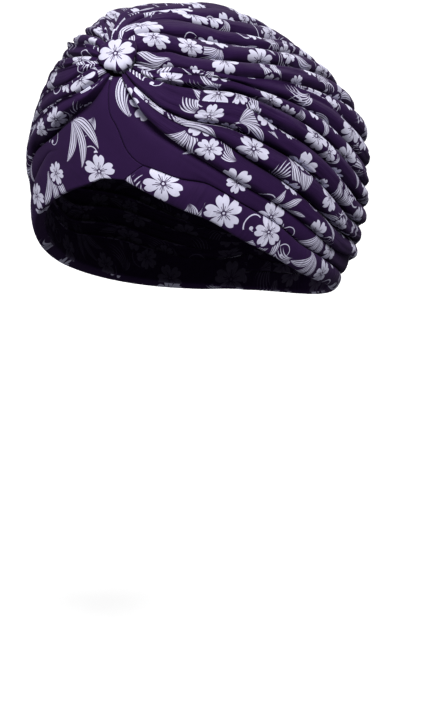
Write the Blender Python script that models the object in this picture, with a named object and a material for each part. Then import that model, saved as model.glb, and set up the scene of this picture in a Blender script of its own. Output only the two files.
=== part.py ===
"""Chemo cap in pleated turban style: worn form, metres, +Z up, front towards -Y, wearer's left on +X.

The cap is laid over a rounded head form. A place on it is given either by alpha and lambda, degrees
from the knot and round the knot (0 upwards, 90 towards the ear), or by azimuth and elevation.
"""
import math

import bmesh
import bpy
import numpy as np
from mathutils import Vector

# Head form that the roll tops touch, millimetres and degrees
HALF_WIDTH = 84.0
FRONT_REACH = 89.5
BACK_REACH = 105.5
CROWN_HEIGHT = 85.0
NAPE_DEPTH = 121.5
PLAN_POWER = 2.28
PROFILE_POWER = 1.92
BACK_WIDENING = 0.144
KNOT_ELEVATION = 34.4
RING_LIFT = 1.8
RING_LIFT_REACH = 16.0
BACK_SPREAD = 0.45
SPREAD_SPAN = 125.0

# Cloth and folds, millimetres
WALL = 2.2
ROLL_HEIGHT = 5.5
ROLL_SLENDERNESS = 0.42
GATHER_RISE = 2.5
GATHER_REACH = 8.0
SEAM_GAP = 0.3
BIRTH_LENGTH = 11.0
MEAN_RADIUS = 95.0
KNOT_FORM_RADIUS = 100.0

# Knot, millimetres: reach is a share of the stem or of the loop, rise is above the lining
KNOT_RING = 4.6
KNOT_HALF_WIDTH = 9.4
KNOT_HALF_HEIGHT = 8.4
KNOT_CLEARANCE = 0.4
KNOT_SIDES = 28
KNOT_PROFILE = (
    {"part": "stem", "reach": 0.96, "rise": 0.4},
    {"part": "stem", "reach": 1.00, "rise": 2.4},
    {"part": "stem", "reach": 1.00, "rise": 6.4},
    {"part": "loop", "reach": 0.90, "rise": 7.0},
    {"part": "loop", "reach": 1.00, "rise": 8.2},
    {"part": "loop", "reach": 0.96, "rise": 9.7},
    {"part": "loop", "reach": 0.83, "rise": 10.9},
    {"part": "loop", "reach": 0.58, "rise": 11.7},
    {"part": "loop", "reach": 0.26, "rise": 12.1},
)

# Cloth colours, linear
CLOTH_COLOUR = (0.027, 0.012, 0.052)
KNOT_COLOUR = (0.45, 0.42, 0.56)

# Swellings of the head form: side, front and up part of the direction, sharpness, share of radius
SWELLINGS = (
    {"at": (0.00, -0.80, 0.60), "sharpness": 0.10, "share": 0.256},
    {"at": (0.35, -0.45, 0.82), "sharpness": 0.10, "share": 0.038},
    {"at": (0.50, 0.55, 0.65), "sharpness": 0.12, "share": -0.042},
    {"at": (0.75, 0.60, -0.20), "sharpness": 0.12, "share": -0.014},
)

FOLD_STATIONS = (8, 20, 35, 50, 70, 105, 140)
# Valleys on the wearer's left, top to bottom: lambda at the stations, where the valley begins,
# and how full the roll below it is
LEFT_FOLDS = (
    {"lambda": (-28, -18, -8, -3, 4, 7, 6), "begins": 0, "full": 1.00},
    {"lambda": (-23, -12, 8, 12, 14, 15, 12), "begins": 36, "full": 0.90},
    {"lambda": (-16, -5, 24, 26, 23, 22, 18), "begins": 0, "full": 0.90},
    {"lambda": (-5, 16, 36, 38, 33, 29, 24), "begins": 28, "full": 0.80},
    {"lambda": (6, 39, 47, 47, 42, 36, 30), "begins": 0, "full": 1.00},
    {"lambda": (49, 62, 60, 56, 51, 44, 37), "begins": 0, "full": 1.10},
    {"lambda": (82, 78, 71, 66, 61, 54, 47), "begins": 0, "full": 1.00},
    {"lambda": (88, 80, 73, 69, 66, 65, 57), "begins": 86, "full": 0.90},
    {"lambda": (95, 84, 75, 73, 72, 74, 66), "begins": 32, "full": 0.75},
    {"lambda": (106, 90, 80, 79, 79, 81, 74), "begins": 0, "full": 0.90},
    {"lambda": (120, 106, 91, 88, 87, 88, 81), "begins": 46, "full": 0.95},
    {"lambda": (134, 119, 102, 98, 96, 96, 88), "begins": 0, "full": 1.05},
    {"lambda": (143, 128, 113, 109, 106, 103, 95), "begins": 36, "full": 1.05},
    {"lambda": (152, 138, 127, 121, 115, 110, 101), "begins": 0, "full": 1.00},
)
# The same on the wearer's right
RIGHT_FOLDS = (
    {"lambda": (31, 26, 22, 17, 9, 7, 6), "begins": 0, "full": 1.00},
    {"lambda": (33, 31, 30, 26, 19, 14, 12), "begins": 30, "full": 0.90},
    {"lambda": (35, 36, 38, 35, 29, 22, 18), "begins": 45, "full": 0.90},
    {"lambda": (38, 42, 46, 44, 40, 32, 25), "begins": 0, "full": 1.00},
    {"lambda": (53, 56, 54, 52, 50, 43, 34), "begins": 0, "full": 1.00},
    {"lambda": (62, 61, 58, 57, 56, 50, 42), "begins": 55, "full": 0.85},
    {"lambda": (71, 66, 63, 62, 63, 58, 50), "begins": 0, "full": 0.95},
    {"lambda": (83, 78, 71, 71, 73, 69, 60), "begins": 0, "full": 1.00},
    {"lambda": (93, 86, 78, 77, 80, 77, 68), "begins": 60, "full": 0.90},
    {"lambda": (103, 95, 85, 84, 87, 84, 75), "begins": 0, "full": 1.00},
    {"lambda": (118, 101, 91, 89, 93, 91, 82), "begins": 52, "full": 0.95},
    {"lambda": (134, 108, 98, 94, 98, 98, 88), "begins": 0, "full": 1.10},
    {"lambda": (142, 115, 106, 100, 103, 104, 95), "begins": 62, "full": 0.95},
    {"lambda": (149, 122, 114, 107, 108, 109, 101), "begins": 0, "full": 1.00},
)
SEAM_TOP = 4.0
SEAM_BOTTOM = 115.0

# Across one roll from its upper to its lower valley: place, share of the roll's height
ROLL_PROFILE = ((0.0, 0.0), (0.15, 0.74), (0.52, 1.0), (0.86, 0.76))
MIDDLE_PROFILE = ((0.0, 0.0), (0.14, 0.74), (0.50, 1.0), (0.86, 0.74))
CROWN_STATIONS = (4.6, 9, 14, 21, 29, 38, 48, 58, 68, 78, 88, 98, 108, 118, 129, 141, 154, 167, 180)

# Edge lines of the lower panels: azimuth from the front, elevation
FRONT_SEAM = (
    {"azimuth": -2.0, "elevation": 29.7},
    {"azimuth": -2.1, "elevation": 26.6},
    {"azimuth": -1.9, "elevation": 22.5},
    {"azimuth": 0.5, "elevation": 18.5},
    {"azimuth": 3.0, "elevation": 12.7},
    {"azimuth": 5.9, "elevation": 9.6},
    {"azimuth": 8.2, "elevation": 8.2},
)
BAND_TOP = (
    {"azimuth": 8.2, "elevation": 8.2},
    {"azimuth": 12.5, "elevation": 6.7},
    {"azimuth": 20.1, "elevation": 4.0},
    {"azimuth": 27.5, "elevation": 2.7},
    {"azimuth": 32.5, "elevation": 0.2},
    {"azimuth": 40.1, "elevation": -4.5},
    {"azimuth": 55.6, "elevation": -13.1},
    {"azimuth": 70.6, "elevation": -22.4},
    {"azimuth": 82.3, "elevation": -26.8},
    {"azimuth": 100.3, "elevation": -31.7},
    {"azimuth": 121.0, "elevation": -34.6},
    {"azimuth": 150.0, "elevation": -36.8},
    {"azimuth": 180.0, "elevation": -37.8},
)
HEM_LEFT = (
    {"azimuth": 1.7, "elevation": 3.4},
    {"azimuth": 10.3, "elevation": -1.1},
    {"azimuth": 19.5, "elevation": -5.7},
    {"azimuth": 28.2, "elevation": -9.4},
    {"azimuth": 40.8, "elevation": -17.2},
    {"azimuth": 53.2, "elevation": -23.6},
    {"azimuth": 63.8, "elevation": -28.8},
    {"azimuth": 75.0, "elevation": -33.2},
    {"azimuth": 92.0, "elevation": -37.2},
    {"azimuth": 120.4, "elevation": -40.3},
    {"azimuth": 150.0, "elevation": -42.5},
    {"azimuth": 180.0, "elevation": -43.5},
)
SIDE_CREASE = (
    {"azimuth": 8.2, "elevation": 8.2},
    {"azimuth": 0.0, "elevation": 8.7},
    {"azimuth": -9.0, "elevation": 10.2},
    {"azimuth": -19.0, "elevation": 11.4},
    {"azimuth": -31.5, "elevation": 10.4},
    {"azimuth": -37.4, "elevation": 6.8},
    {"azimuth": -46.1, "elevation": 1.1},
    {"azimuth": -59.0, "elevation": -6.5},
    {"azimuth": -75.0, "elevation": -17.0},
    {"azimuth": -95.0, "elevation": -26.5},
    {"azimuth": -125.0, "elevation": -33.2},
    {"azimuth": -150.0, "elevation": -36.5},
    {"azimuth": -180.0, "elevation": -37.8},
)
HEM_RIGHT = (
    {"azimuth": 1.7, "elevation": 3.4},
    {"azimuth": -5.1, "elevation": 3.6},
    {"azimuth": -11.9, "elevation": 1.1},
    {"azimuth": -20.0, "elevation": -1.5},
    {"azimuth": -31.1, "elevation": -5.8},
    {"azimuth": -44.0, "elevation": -12.2},
    {"azimuth": -60.0, "elevation": -21.3},
    {"azimuth": -75.0, "elevation": -29.0},
    {"azimuth": -95.0, "elevation": -36.0},
    {"azimuth": -125.0, "elevation": -40.6},
    {"azimuth": -150.0, "elevation": -42.5},
    {"azimuth": -180.0, "elevation": -43.5},
)
RING_ARC_LEFT = (200.0, 184.0, 168.0)
RING_ARC_RIGHT = (-160.0, -156.5, -153.0)

# Panels: steps across, how far back the bend of the front seam reaches, and fullness in millimetres
# by the share of the way from the knot to the centre back
PANEL_STEPS = 6
HEM_STEPS = 5
BEND_REACH = {"least": 0.04, "more": 0.36}
YOKE_PUFF = {"share": (0, 0.15, 0.4, 0.7, 1), "height": (0.4, 1.0, 2.6, 3.0, 1.5)}
BAND_FOLD = {"share": (0, 0.1, 0.5, 0.85, 1), "height": (1.6, 3.0, 3.4, 3.0, 2.0)}
BAND_SECTION = (0.35, 0.86, 1.0, 0.97, 0.86, 0.66, 0.3)
SIDE_SWELL = {"share": (0, 0.15, 0.35, 0.7, 1), "height": (0.3, 0.9, 3.0, 3.2, 1.5)}
CREASE_BEGINS = 22
CREASE_FULL = 46


def curve_value(stations, values, at):
    """Shape-keeping cubic through the stations, with its ends held flat outside them."""
    x = np.asarray(stations, float)
    y = np.asarray(values, float)
    step = np.diff(x)
    slope = np.diff(y) / step
    tangent = np.zeros(len(x))
    for i in range(1, len(x) - 1):
        if slope[i - 1] * slope[i] > 0:
            a = 2 * step[i] + step[i - 1]
            b = step[i] + 2 * step[i - 1]
            tangent[i] = (a + b) / (a / slope[i - 1] + b / slope[i])
    tangent[0], tangent[-1] = slope[0], slope[-1]
    at = np.clip(np.asarray(at, float), x[0], x[-1])
    k = np.clip(np.searchsorted(x, at, side="right") - 1, 0, len(x) - 2)
    t = (at - x[k]) / step[k]
    h00 = 2 * t ** 3 - 3 * t ** 2 + 1
    h10 = t ** 3 - 2 * t ** 2 + t
    h01 = 3 * t ** 2 - 2 * t ** 3
    h11 = t ** 3 - t ** 2
    return h00 * y[k] + h10 * step[k] * tangent[k] + h01 * y[k + 1] + h11 * step[k] * tangent[k + 1]


def smooth_step(value, start, end):
    t = np.clip((np.asarray(value, float) - start) / (end - start), 0, 1)
    return t * t * (3 - 2 * t)


def unit(vector):
    vector = np.asarray(vector, float)
    return vector / np.linalg.norm(vector, axis=-1, keepdims=True)


def knot_axes():
    k = math.radians(KNOT_ELEVATION)
    outward = np.array([0.0, -math.cos(k), math.sin(k)])
    upward = np.array([0.0, math.sin(k), math.cos(k)])
    return outward, upward, np.array([1.0, 0.0, 0.0])


def from_knot(alpha, lam):
    """Direction at alpha degrees from the knot and lambda degrees round it."""
    outward, upward, side = knot_axes()
    alpha, lam = np.broadcast_arrays(np.asarray(alpha, float), np.asarray(lam, float))
    lift = RING_LIFT * np.cos(np.radians(lam)) * np.exp(-(alpha / RING_LIFT_REACH) ** 2)
    a, l = np.radians(alpha + lift)[..., None], np.radians(lam)[..., None]
    direction = np.cos(a) * outward + np.sin(a) * (np.cos(l) * upward + np.sin(l) * side)
    spread = smooth_step(alpha, 80, 180) * BACK_SPREAD * (1 - np.abs(lam) / SPREAD_SPAN)
    return unit(direction + spread[..., None] * upward)


def from_angles(azimuth, elevation):
    a, e = np.radians(azimuth), np.radians(elevation)
    return np.stack([np.sin(a) * np.cos(e), -np.cos(a) * np.cos(e), np.sin(e)], -1)


def head_radius(direction):
    """Radius of the form that the tops of the rolls touch, in millimetres."""
    direction = np.asarray(direction, float)
    x, y, z = direction[..., 0], direction[..., 1], direction[..., 2]
    reach = np.where(y < 0, FRONT_REACH, BACK_REACH)
    height = np.where(z > 0, CROWN_HEIGHT, NAPE_DEPTH)
    width = HALF_WIDTH * (1 + BACK_WIDENING * y)
    plan = np.abs(x / width) ** PLAN_POWER + np.abs(y / reach) ** PLAN_POWER
    whole = plan ** (PROFILE_POWER / PLAN_POWER) + np.abs(z / height) ** PROFILE_POWER
    mirrored = np.stack([np.abs(x), y, z], -1)
    factor = np.ones(x.shape)
    for swelling in SWELLINGS:
        near = mirrored @ unit(swelling["at"])
        factor = factor + swelling["share"] * np.exp((near - 1) / swelling["sharpness"])
    return factor * whole ** (-1 / PROFILE_POWER)


def gather(direction):
    """Extra thickness of the cloth that is bunched at the knot."""
    outward = knot_axes()[0]
    alpha = np.degrees(np.arccos(np.clip(direction @ outward, -1, 1)))
    return GATHER_RISE * np.exp(-((alpha - KNOT_RING) / GATHER_REACH) ** 2)


def cloth_point(direction, height):
    """Point of the cloth's outer face, height above the valley floors."""
    direction = unit(direction)
    radius = head_radius(direction) - ROLL_HEIGHT + gather(direction) + height
    return direction * radius[..., None]


def cloth_radius(direction):
    return head_radius(direction) - ROLL_HEIGHT


def lining_point(direction):
    direction = unit(direction)
    return direction * (head_radius(direction) - ROLL_HEIGHT - WALL)[..., None]


def seam_lambda(index, count):
    return SEAM_TOP + index * (SEAM_BOTTOM - SEAM_TOP) / (count - 1)


def fold_lines(folds, alphas):
    """Lambda of every valley at every alpha."""
    lines = []
    for index, fold in enumerate(folds):
        values = tuple(fold["lambda"]) + (seam_lambda(index, len(folds)),)
        lines.append(curve_value(FOLD_STATIONS + (180,), values, alphas))
    return np.array(lines)


def fold_depths(folds, alphas):
    depths = []
    for fold in folds:
        begins = fold["begins"]
        if begins == 0:
            depths.append(np.ones(len(alphas)))
        else:
            depths.append(smooth_step(alphas, begins - BIRTH_LENGTH, begins + BIRTH_LENGTH))
    return np.array(depths)


def gap_shift(alphas):
    """Lambda that moves a line round the knot by half the seam gap."""
    return np.degrees(SEAM_GAP / 2 / (np.maximum(np.sin(np.radians(alphas)), 0.05) * MEAN_RADIUS))


def roll_columns(alphas):
    """Lambda and height of every column of the crown, from the wearer's right edge to the left."""
    right_lines = -fold_lines(RIGHT_FOLDS, alphas)[::-1]
    left_lines = fold_lines(LEFT_FOLDS, alphas)
    lines = np.vstack([right_lines, left_lines])
    depth = np.vstack([fold_depths(RIGHT_FOLDS, alphas)[::-1], fold_depths(LEFT_FOLDS, alphas)])
    count = len(RIGHT_FOLDS)
    shift = gap_shift(alphas)
    lines[0] += np.where(alphas < 179, shift, 0)
    lines[-1] -= np.where(alphas < 179, shift, 0)
    full = [fold["full"] for fold in RIGHT_FOLDS[:-1]][::-1] + [1.0]
    full += [fold["full"] for fold in LEFT_FOLDS[:-1]]
    valley = cloth_point(from_knot(alphas[None, :], lines), np.zeros(lines.shape))
    width = np.linalg.norm(np.diff(valley, axis=0), axis=-1)
    evened = smooth_step(alphas, 140, 180)
    columns = []
    for roll in range(len(lines) - 1):
        fullness = full[roll] * (1 - evened) + evened
        reach = width[roll].copy()
        if roll > 0:
            reach += (1 - depth[roll]) * width[roll - 1]
        if roll < len(width) - 1:
            reach += (1 - depth[roll + 1]) * width[roll + 1]
        top = np.minimum(ROLL_HEIGHT * fullness, ROLL_SLENDERNESS * reach)
        floor_a = (1 - depth[roll]) * 0.9 * top
        floor_b = (1 - depth[roll + 1]) * 0.9 * top
        if roll == count - 1:
            profile = MIDDLE_PROFILE
        elif roll < count - 1:
            profile = ((0.0, 0.0),) + tuple((1 - t, p) for t, p in ROLL_PROFILE[:0:-1])
        else:
            profile = ROLL_PROFILE
        for t, share in profile:
            floor = floor_a * (1 - t) + floor_b * t
            lam = lines[roll] * (1 - t) + lines[roll + 1] * t
            columns.append((lam, floor + (top - floor) * share))
    columns.append((lines[-1], np.zeros(len(alphas))))
    return columns


def crown_sheets(side):
    """Outer and lining points of the crown's half on one side, a row for each column of the folds.

    The halves part along the crest of the top roll, with a narrower gap by the knot.
    """
    alphas = np.array(CROWN_STATIONS, float)
    alphas[0] += math.degrees(SEAM_GAP / 2 / KNOT_FORM_RADIUS)
    columns = roll_columns(alphas)
    crest = len(columns) // 2
    columns = columns[crest:] if side > 0 else columns[:crest + 1]
    lam = np.array([column[0] for column in columns])
    high = np.array([column[1] for column in columns])
    parted = gap_shift(alphas) * (0.4 + 0.6 * smooth_step(alphas, 5, 30))
    lam[0 if side > 0 else -1] += side * parted
    directions = from_knot(np.broadcast_to(alphas, lam.shape), lam)
    outer = cloth_point(directions, high)
    inner = lining_point(directions)
    outer[:, -1, 0] = side * SEAM_GAP / 2
    inner[:, -1, 0] = side * SEAM_GAP / 2
    return outer, inner


def line_directions(rows, count_between=12):
    """Fine run of directions through a table of azimuth and elevation rows."""
    azimuth = [row["azimuth"] for row in rows]
    elevation = [row["elevation"] for row in rows]
    sign = 1 if azimuth[-1] > azimuth[0] else -1
    if all(sign * (b - a) > 0 for a, b in zip(azimuth, azimuth[1:])):
        fine = np.linspace(azimuth[0], azimuth[-1], count_between * len(rows))
        height = curve_value([sign * a for a in azimuth], elevation, sign * fine)
        return from_angles(fine, height)
    place = np.arange(len(rows), dtype=float)
    fine = np.linspace(0, len(rows) - 1, count_between * len(rows))
    return from_angles(curve_value(place, azimuth, fine), curve_value(place, elevation, fine))


def at_shares(directions, shares):
    """Directions at the given shares of a line's length."""
    points = cloth_point(directions, np.zeros(len(directions)))
    length = np.concatenate([[0], np.cumsum(np.linalg.norm(np.diff(points, axis=0), axis=-1))])
    length /= length[-1]
    return unit(np.stack([np.interp(shares, length, directions[:, k]) for k in range(3)], -1))


def shares_of(directions):
    points = cloth_point(directions, np.zeros(len(directions)))
    length = np.concatenate([[0], np.cumsum(np.linalg.norm(np.diff(points, axis=0), axis=-1))])
    return length / length[-1]


def crown_edge(folds, arc, side):
    """Lower edge of the crown on one side with the arc of the knot's ring before it."""
    alphas = np.array(CROWN_STATIONS, float)
    lam = side * fold_lines(folds, alphas)[-1]
    edge = from_knot(alphas, lam)
    edge[-1, 0] = 0.0
    return np.vstack([from_knot(np.full(len(arc), KNOT_RING), np.array(arc)), unit(edge)])


def inset_line(line, toward, distance):
    """The line moved sideways over the form by a distance in millimetres, to the side of toward."""
    tangent = np.gradient(line, axis=0)
    sideways = unit(np.cross(line, tangent))
    facing = np.sign(np.sum(sideways * (toward - line), axis=-1))
    facing = np.where(facing == 0, 1.0, facing)
    reach = distance / cloth_radius(line)
    return unit(line + sideways * (facing * reach)[:, None])


def panel_grid(lines, across, front_line=None):
    """Directions between edge lines: lines has two or three edges, across the steps between them.

    Half the seam gap is kept at the outer edges and at the front end. A front line that bends away
    from the straight end bends the stations behind it less and less, and sooner so near the second
    edge line, so that no row crosses that line.
    """
    rows = []
    for k, steps in enumerate(across):
        a, b = lines[k], lines[k + 1]
        if k == 0:
            a = inset_line(a, b, SEAM_GAP / 2)
        if k == len(across) - 1:
            b = inset_line(b, lines[k], SEAM_GAP / 2)
        shares = np.linspace(0, 1, steps + 1)[(0 if k == 0 else 1):]
        rows += [unit(a * (1 - t) + b * t) for t in shares]
    grid = np.array(rows)
    if front_line is not None:
        bend = front_line - grid[:, 0]
        bend[0] = bend[-1] = 0.0
        part = np.minimum(np.arange(len(grid)) / across[0], 1.0)
        reach = BEND_REACH["least"] + BEND_REACH["more"] * np.sqrt(1 - part)
        fade = 1 - smooth_step(shares_of(lines[0])[None, :] / reach[:, None], 0.0, 1.0)
        grid = unit(grid + bend[:, None, :] * fade[..., None])
    grid[:, 0] = inset_line(grid[:, 0], grid[:, 2], SEAM_GAP / 2)
    return grid


def panel_sheets(grid, high, side):
    """Outer and lining points over a grid of directions, with the heights of the outer face."""
    outer = cloth_point(grid, high)
    inner = lining_point(grid)
    for sheet in (outer, inner):
        sheet[:, -1, 0] = side * SEAM_GAP / 2
    return outer, inner


def panel_height(table, shares):
    """Height of a panel's middle above its seams, one value for each station along it."""
    return curve_value(table["share"], table["height"], shares)[None, :]


def rounded(share, sharp=2.4):
    """Rounded roll section: none at the edges, one in the middle."""
    return np.sqrt(np.maximum(1 - np.abs(2 * share - 1) ** sharp, 0))


def front_points(steps):
    """Points down the front seam, from the knot's ring to the end of the hem band."""
    line = line_directions(FRONT_SEAM)
    line[0] = from_knot(KNOT_RING, RING_ARC_LEFT[0])
    return at_shares(line, np.linspace(0, 1, steps + 1))


def left_panels():
    """Grids and heights of the yoke and of the hem band on the wearer's left."""
    top = crown_edge(LEFT_FOLDS, RING_ARC_LEFT, 1)
    shares = shares_of(top)
    middle = at_shares(line_directions(BAND_TOP), shares)
    bottom = at_shares(line_directions(HEM_LEFT), shares)
    yoke = panel_grid([top, middle], [PANEL_STEPS], front_points(PANEL_STEPS))
    band = panel_grid([middle, bottom], [PANEL_STEPS])
    t = np.linspace(0, 1, PANEL_STEPS + 1)[:, None]
    yoke_high = panel_height(YOKE_PUFF, shares) * rounded(t)
    band_high = panel_height(BAND_FOLD, shares) * np.array(BAND_SECTION)[:, None]
    return yoke, yoke_high, band, band_high


def right_panel():
    """Grid and heights of the yoke on the wearer's right, with its crease at the side."""
    top = crown_edge(RIGHT_FOLDS, RING_ARC_RIGHT, -1)
    shares = shares_of(top)
    crease = at_shares(line_directions(SIDE_CREASE), shares)
    bottom = at_shares(line_directions(HEM_RIGHT), shares)
    upper = np.linspace(0, 1, PANEL_STEPS + 1)[:, None]
    lower = np.linspace(0, 1, HEM_STEPS + 1)[1:, None]
    seam = front_points(PANEL_STEPS)
    toe = unit(seam[-1] * (1 - lower) + bottom[0] * lower)
    grid = panel_grid([top, crease, bottom], [PANEL_STEPS, HEM_STEPS], np.vstack([seam, toe]))
    azimuth = -np.degrees(np.arctan2(crease[:, 0], -crease[:, 1]))
    deep = smooth_step(azimuth, CREASE_BEGINS, CREASE_FULL)[None, :]
    swell = panel_height(SIDE_SWELL, shares)
    flat_upper = swell * 0.8 * smooth_step(upper, 0, 0.45)
    high_upper = flat_upper * (1 - deep) + deep * swell * rounded(upper)
    flat_lower = swell * 0.8 * (1 - 0.6 * smooth_step(lower, 0.4, 1.0))
    high_lower = flat_lower * (1 - deep) + deep * (swell + 0.4) * (
        0.25 * lower + 0.95 * rounded(0.06 + 0.84 * lower))
    return grid, np.vstack([high_upper, high_lower])


def cloth_material(name, colour):
    material = bpy.data.materials.new(name)
    material.use_nodes = True
    shader = material.node_tree.nodes["Principled BSDF"]
    shader.inputs["Base Color"].default_value = (*colour, 1.0)
    shader.inputs["Roughness"].default_value = 0.85
    shader.inputs["Metallic"].default_value = 0.0
    return material


def add_node(name, work, colour, root):
    """Finish a bmesh as one closed, smooth shaded object under the cap's empty."""
    bmesh.ops.triangulate(work, faces=work.faces[:])
    bmesh.ops.recalc_face_normals(work, faces=work.faces[:])
    mesh = bpy.data.meshes.new(name)
    work.to_mesh(mesh)
    work.free()
    mesh.shade_smooth()
    mesh.set_sharp_from_angle(angle=math.radians(50))
    node = bpy.data.objects.new(name, mesh)
    node.data.materials.append(cloth_material(name + "_cloth", colour))
    node.parent = root
    bpy.context.scene.collection.objects.link(node)
    return node


def add_shell(name, sheets, colour, root):
    """Cloth shell: a grid laid on the outer face and extruded to the lining."""
    outer, inner = sheets
    rows, cols = outer.shape[:2]
    work = bmesh.new()
    bmesh.ops.create_grid(work, x_segments=cols - 1, y_segments=rows - 1, size=1.0)
    place = work.verts.layers.int.new("place")
    work.verts.ensure_lookup_table()
    for index, vert in enumerate(work.verts):
        vert[place] = index
        vert.co = 0.001 * outer[index // cols, index % cols]
    made = bmesh.ops.extrude_face_region(work, geom=work.faces[:])
    for vert in [item for item in made["geom"] if isinstance(item, bmesh.types.BMVert)]:
        vert.co = 0.001 * inner[vert[place] // cols, vert[place] % cols]
    return add_node(name, work, colour, root)


def add_knot(name, colour, root):
    """The gathering loop: a low cushion on a stem that fills the ring of the pleats."""
    side = knot_axes()[2]
    middle = from_knot(0.0, 0.0)
    upward = np.cross(middle, side)
    upward = -upward if upward[2] < 0 else upward
    base = head_radius(middle[None])[0] - ROLL_HEIGHT - WALL
    stem = math.radians(KNOT_RING) * base - KNOT_CLEARANCE

    def ring_point(row, angle):
        c, s = math.cos(angle), math.sin(angle)
        if row["part"] == "stem":
            across, up, dent = stem * row["reach"] * c, stem * row["reach"] * s, 0.0
        else:
            squared = (abs(c) ** 2.5 + abs(s) ** 2.5) ** (-1 / 2.5)
            pinch = row["reach"] * squared * (1 - 0.05 * math.cos(3 * angle + 0.6))
            across, up = KNOT_HALF_WIDTH * pinch * c, KNOT_HALF_HEIGHT * pinch * s
            dent = 0.4 * math.cos(4 * angle) * (1 - row["reach"])
        return Vector(0.001 * (middle * (base + row["rise"] + dent) + side * across + upward * up))

    work = bmesh.new()
    ring = bmesh.ops.create_circle(work, cap_ends=True, segments=KNOT_SIDES, radius=1.0)["verts"]
    turn = {vert: 2 * math.pi * k / KNOT_SIDES for k, vert in enumerate(ring)}
    for vert in ring:
        vert.co = ring_point(KNOT_PROFILE[0], turn[vert])
    edges = work.edges[:]
    for row in KNOT_PROFILE[1:]:
        before = {vert.co.copy().freeze(): turn[vert] for vert in ring}
        made = bmesh.ops.extrude_edge_only(work, edges=edges)["geom"]
        ring = [item for item in made if isinstance(item, bmesh.types.BMVert)]
        edges = [item for item in made if isinstance(item, bmesh.types.BMEdge)
                 and all(vert in ring for vert in item.verts)]
        turn = {vert: before[vert.co.copy().freeze()] for vert in ring}
        for vert in ring:
            vert.co = ring_point(row, turn[vert])
    bmesh.ops.edgeloop_fill(work, edges=edges)
    return add_node(name, work, colour, root)


def main():
    for old in list(bpy.data.objects):
        bpy.data.objects.remove(old, do_unlink=True)
    root = bpy.data.objects.new("chemo_cap", None)
    bpy.context.scene.collection.objects.link(root)
    add_shell("crown_left", crown_sheets(1), CLOTH_COLOUR, root)
    add_shell("crown_right", crown_sheets(-1), CLOTH_COLOUR, root)
    yoke, yoke_high, band, band_high = left_panels()
    add_shell("yoke_left", panel_sheets(yoke, yoke_high, 1), CLOTH_COLOUR, root)
    add_shell("hem_band", panel_sheets(band, band_high, 1), CLOTH_COLOUR, root)
    panel, panel_high = right_panel()
    add_shell("yoke_right", panel_sheets(panel, panel_high, -1), CLOTH_COLOUR, root)
    add_knot("knot", KNOT_COLOUR, root)


main()
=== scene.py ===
"""Looks of a pleated turban-style chemo cap: printed jersey in rolls, yokes, hem band and knot.

A place on the cap is given by alpha and lambda, degrees from the knot and round it (0 upwards, 90
towards the ear), or by azimuth and elevation. Lengths in the tables are millimetres.
"""
import math

import bmesh
import bpy
import numpy as np
from mathutils import Matrix, Vector


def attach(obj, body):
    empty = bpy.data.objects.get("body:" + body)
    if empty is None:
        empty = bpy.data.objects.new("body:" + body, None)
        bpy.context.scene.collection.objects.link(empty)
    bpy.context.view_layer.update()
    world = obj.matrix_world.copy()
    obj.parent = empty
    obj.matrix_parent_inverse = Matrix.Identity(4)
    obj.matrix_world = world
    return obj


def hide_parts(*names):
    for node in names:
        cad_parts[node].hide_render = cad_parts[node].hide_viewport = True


bl_info = {
    "name": "Pleated turban cap",
    "version": (1, 0, 0),
    "blender": (4, 5, 0),
    "location": "View3D > Sidebar > Turban cap",
    "description": "Finishes a pleated turban-style cap in flowered jersey",
    "category": "Object",
}

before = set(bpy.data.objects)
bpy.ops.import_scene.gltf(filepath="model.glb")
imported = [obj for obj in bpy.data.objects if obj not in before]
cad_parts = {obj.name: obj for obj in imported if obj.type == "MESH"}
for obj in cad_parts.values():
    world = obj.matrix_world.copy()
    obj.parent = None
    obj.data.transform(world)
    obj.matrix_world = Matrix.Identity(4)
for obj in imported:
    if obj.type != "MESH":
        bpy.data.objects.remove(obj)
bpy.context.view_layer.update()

# Head form that the roll tops touch, millimetres and degrees
HALF_WIDTH = 84.0
FRONT_REACH = 89.5
BACK_REACH = 105.5
CROWN_HEIGHT = 85.0
NAPE_DEPTH = 121.5
PLAN_POWER = 2.28
PROFILE_POWER = 1.92
BACK_WIDENING = 0.144
KNOT_ELEVATION = 34.4
RING_LIFT = 1.8
RING_LIFT_REACH = 16.0
BACK_SPREAD = 0.45
SPREAD_SPAN = 125.0

# Cloth, millimetres
WALL = 2.2
THIN_WALL = 1.1
MEAN_RADIUS = 95.0
KNOT_FORM_RADIUS = 100.0
KNOT_RING = 4.6
GATHER_RISE = 2.5
GATHER_REACH = 8.0
SEAM_GAP = 0.12
BACK_GAP = 0.02
EDGE_ROUND = 0.8

# Rolls: heights in millimetres, slenderness as a share of the roll's width, places in degrees
ROLL_HEIGHT = 5.5
ROLL_SLENDERNESS = 0.68
ROLL_SECTION = {"flatness": 2.5, "roundness": 2.2}
ROLL_WAVE = {"share": 0.13, "length": 13.0}
ROLL_LEAN = 1.12
ROLL_SHEAR = 0.30
BIRTH_LENGTH = 11.0
BIRTH_HEIGHT = 0.93
VALLEY_SINK = 4.3
VALLEY_SLENDERNESS = 0.30
FINGER_RISE = 0.60
FINGER_RISE_LEFT = 0.3 * FINGER_RISE
FINGER_MIDDLE = 32
FINGER_REACH = 21
EVENED_FROM = 140
FINE_WAVE = {"height": 0.16, "length": 2.9, "spread": 3.7}
PUCKERS = {"height": 0.30, "pitch": 0.62, "bend": 1.3, "alpha": 14, "reach": 11}
CREASES_PER_ROLL = 3
CREASE_WIDTH = 0.085
CREASE_DRAWS = {"start": (8, 115), "across": (0.25, 0.75), "length": (22, 50), "depth": (0.5, 1.3)}
POCKET = {"depth": 5.2, "alpha": 9.0, "length": 3.0, "lambda": 75, "spread": 42}

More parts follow.
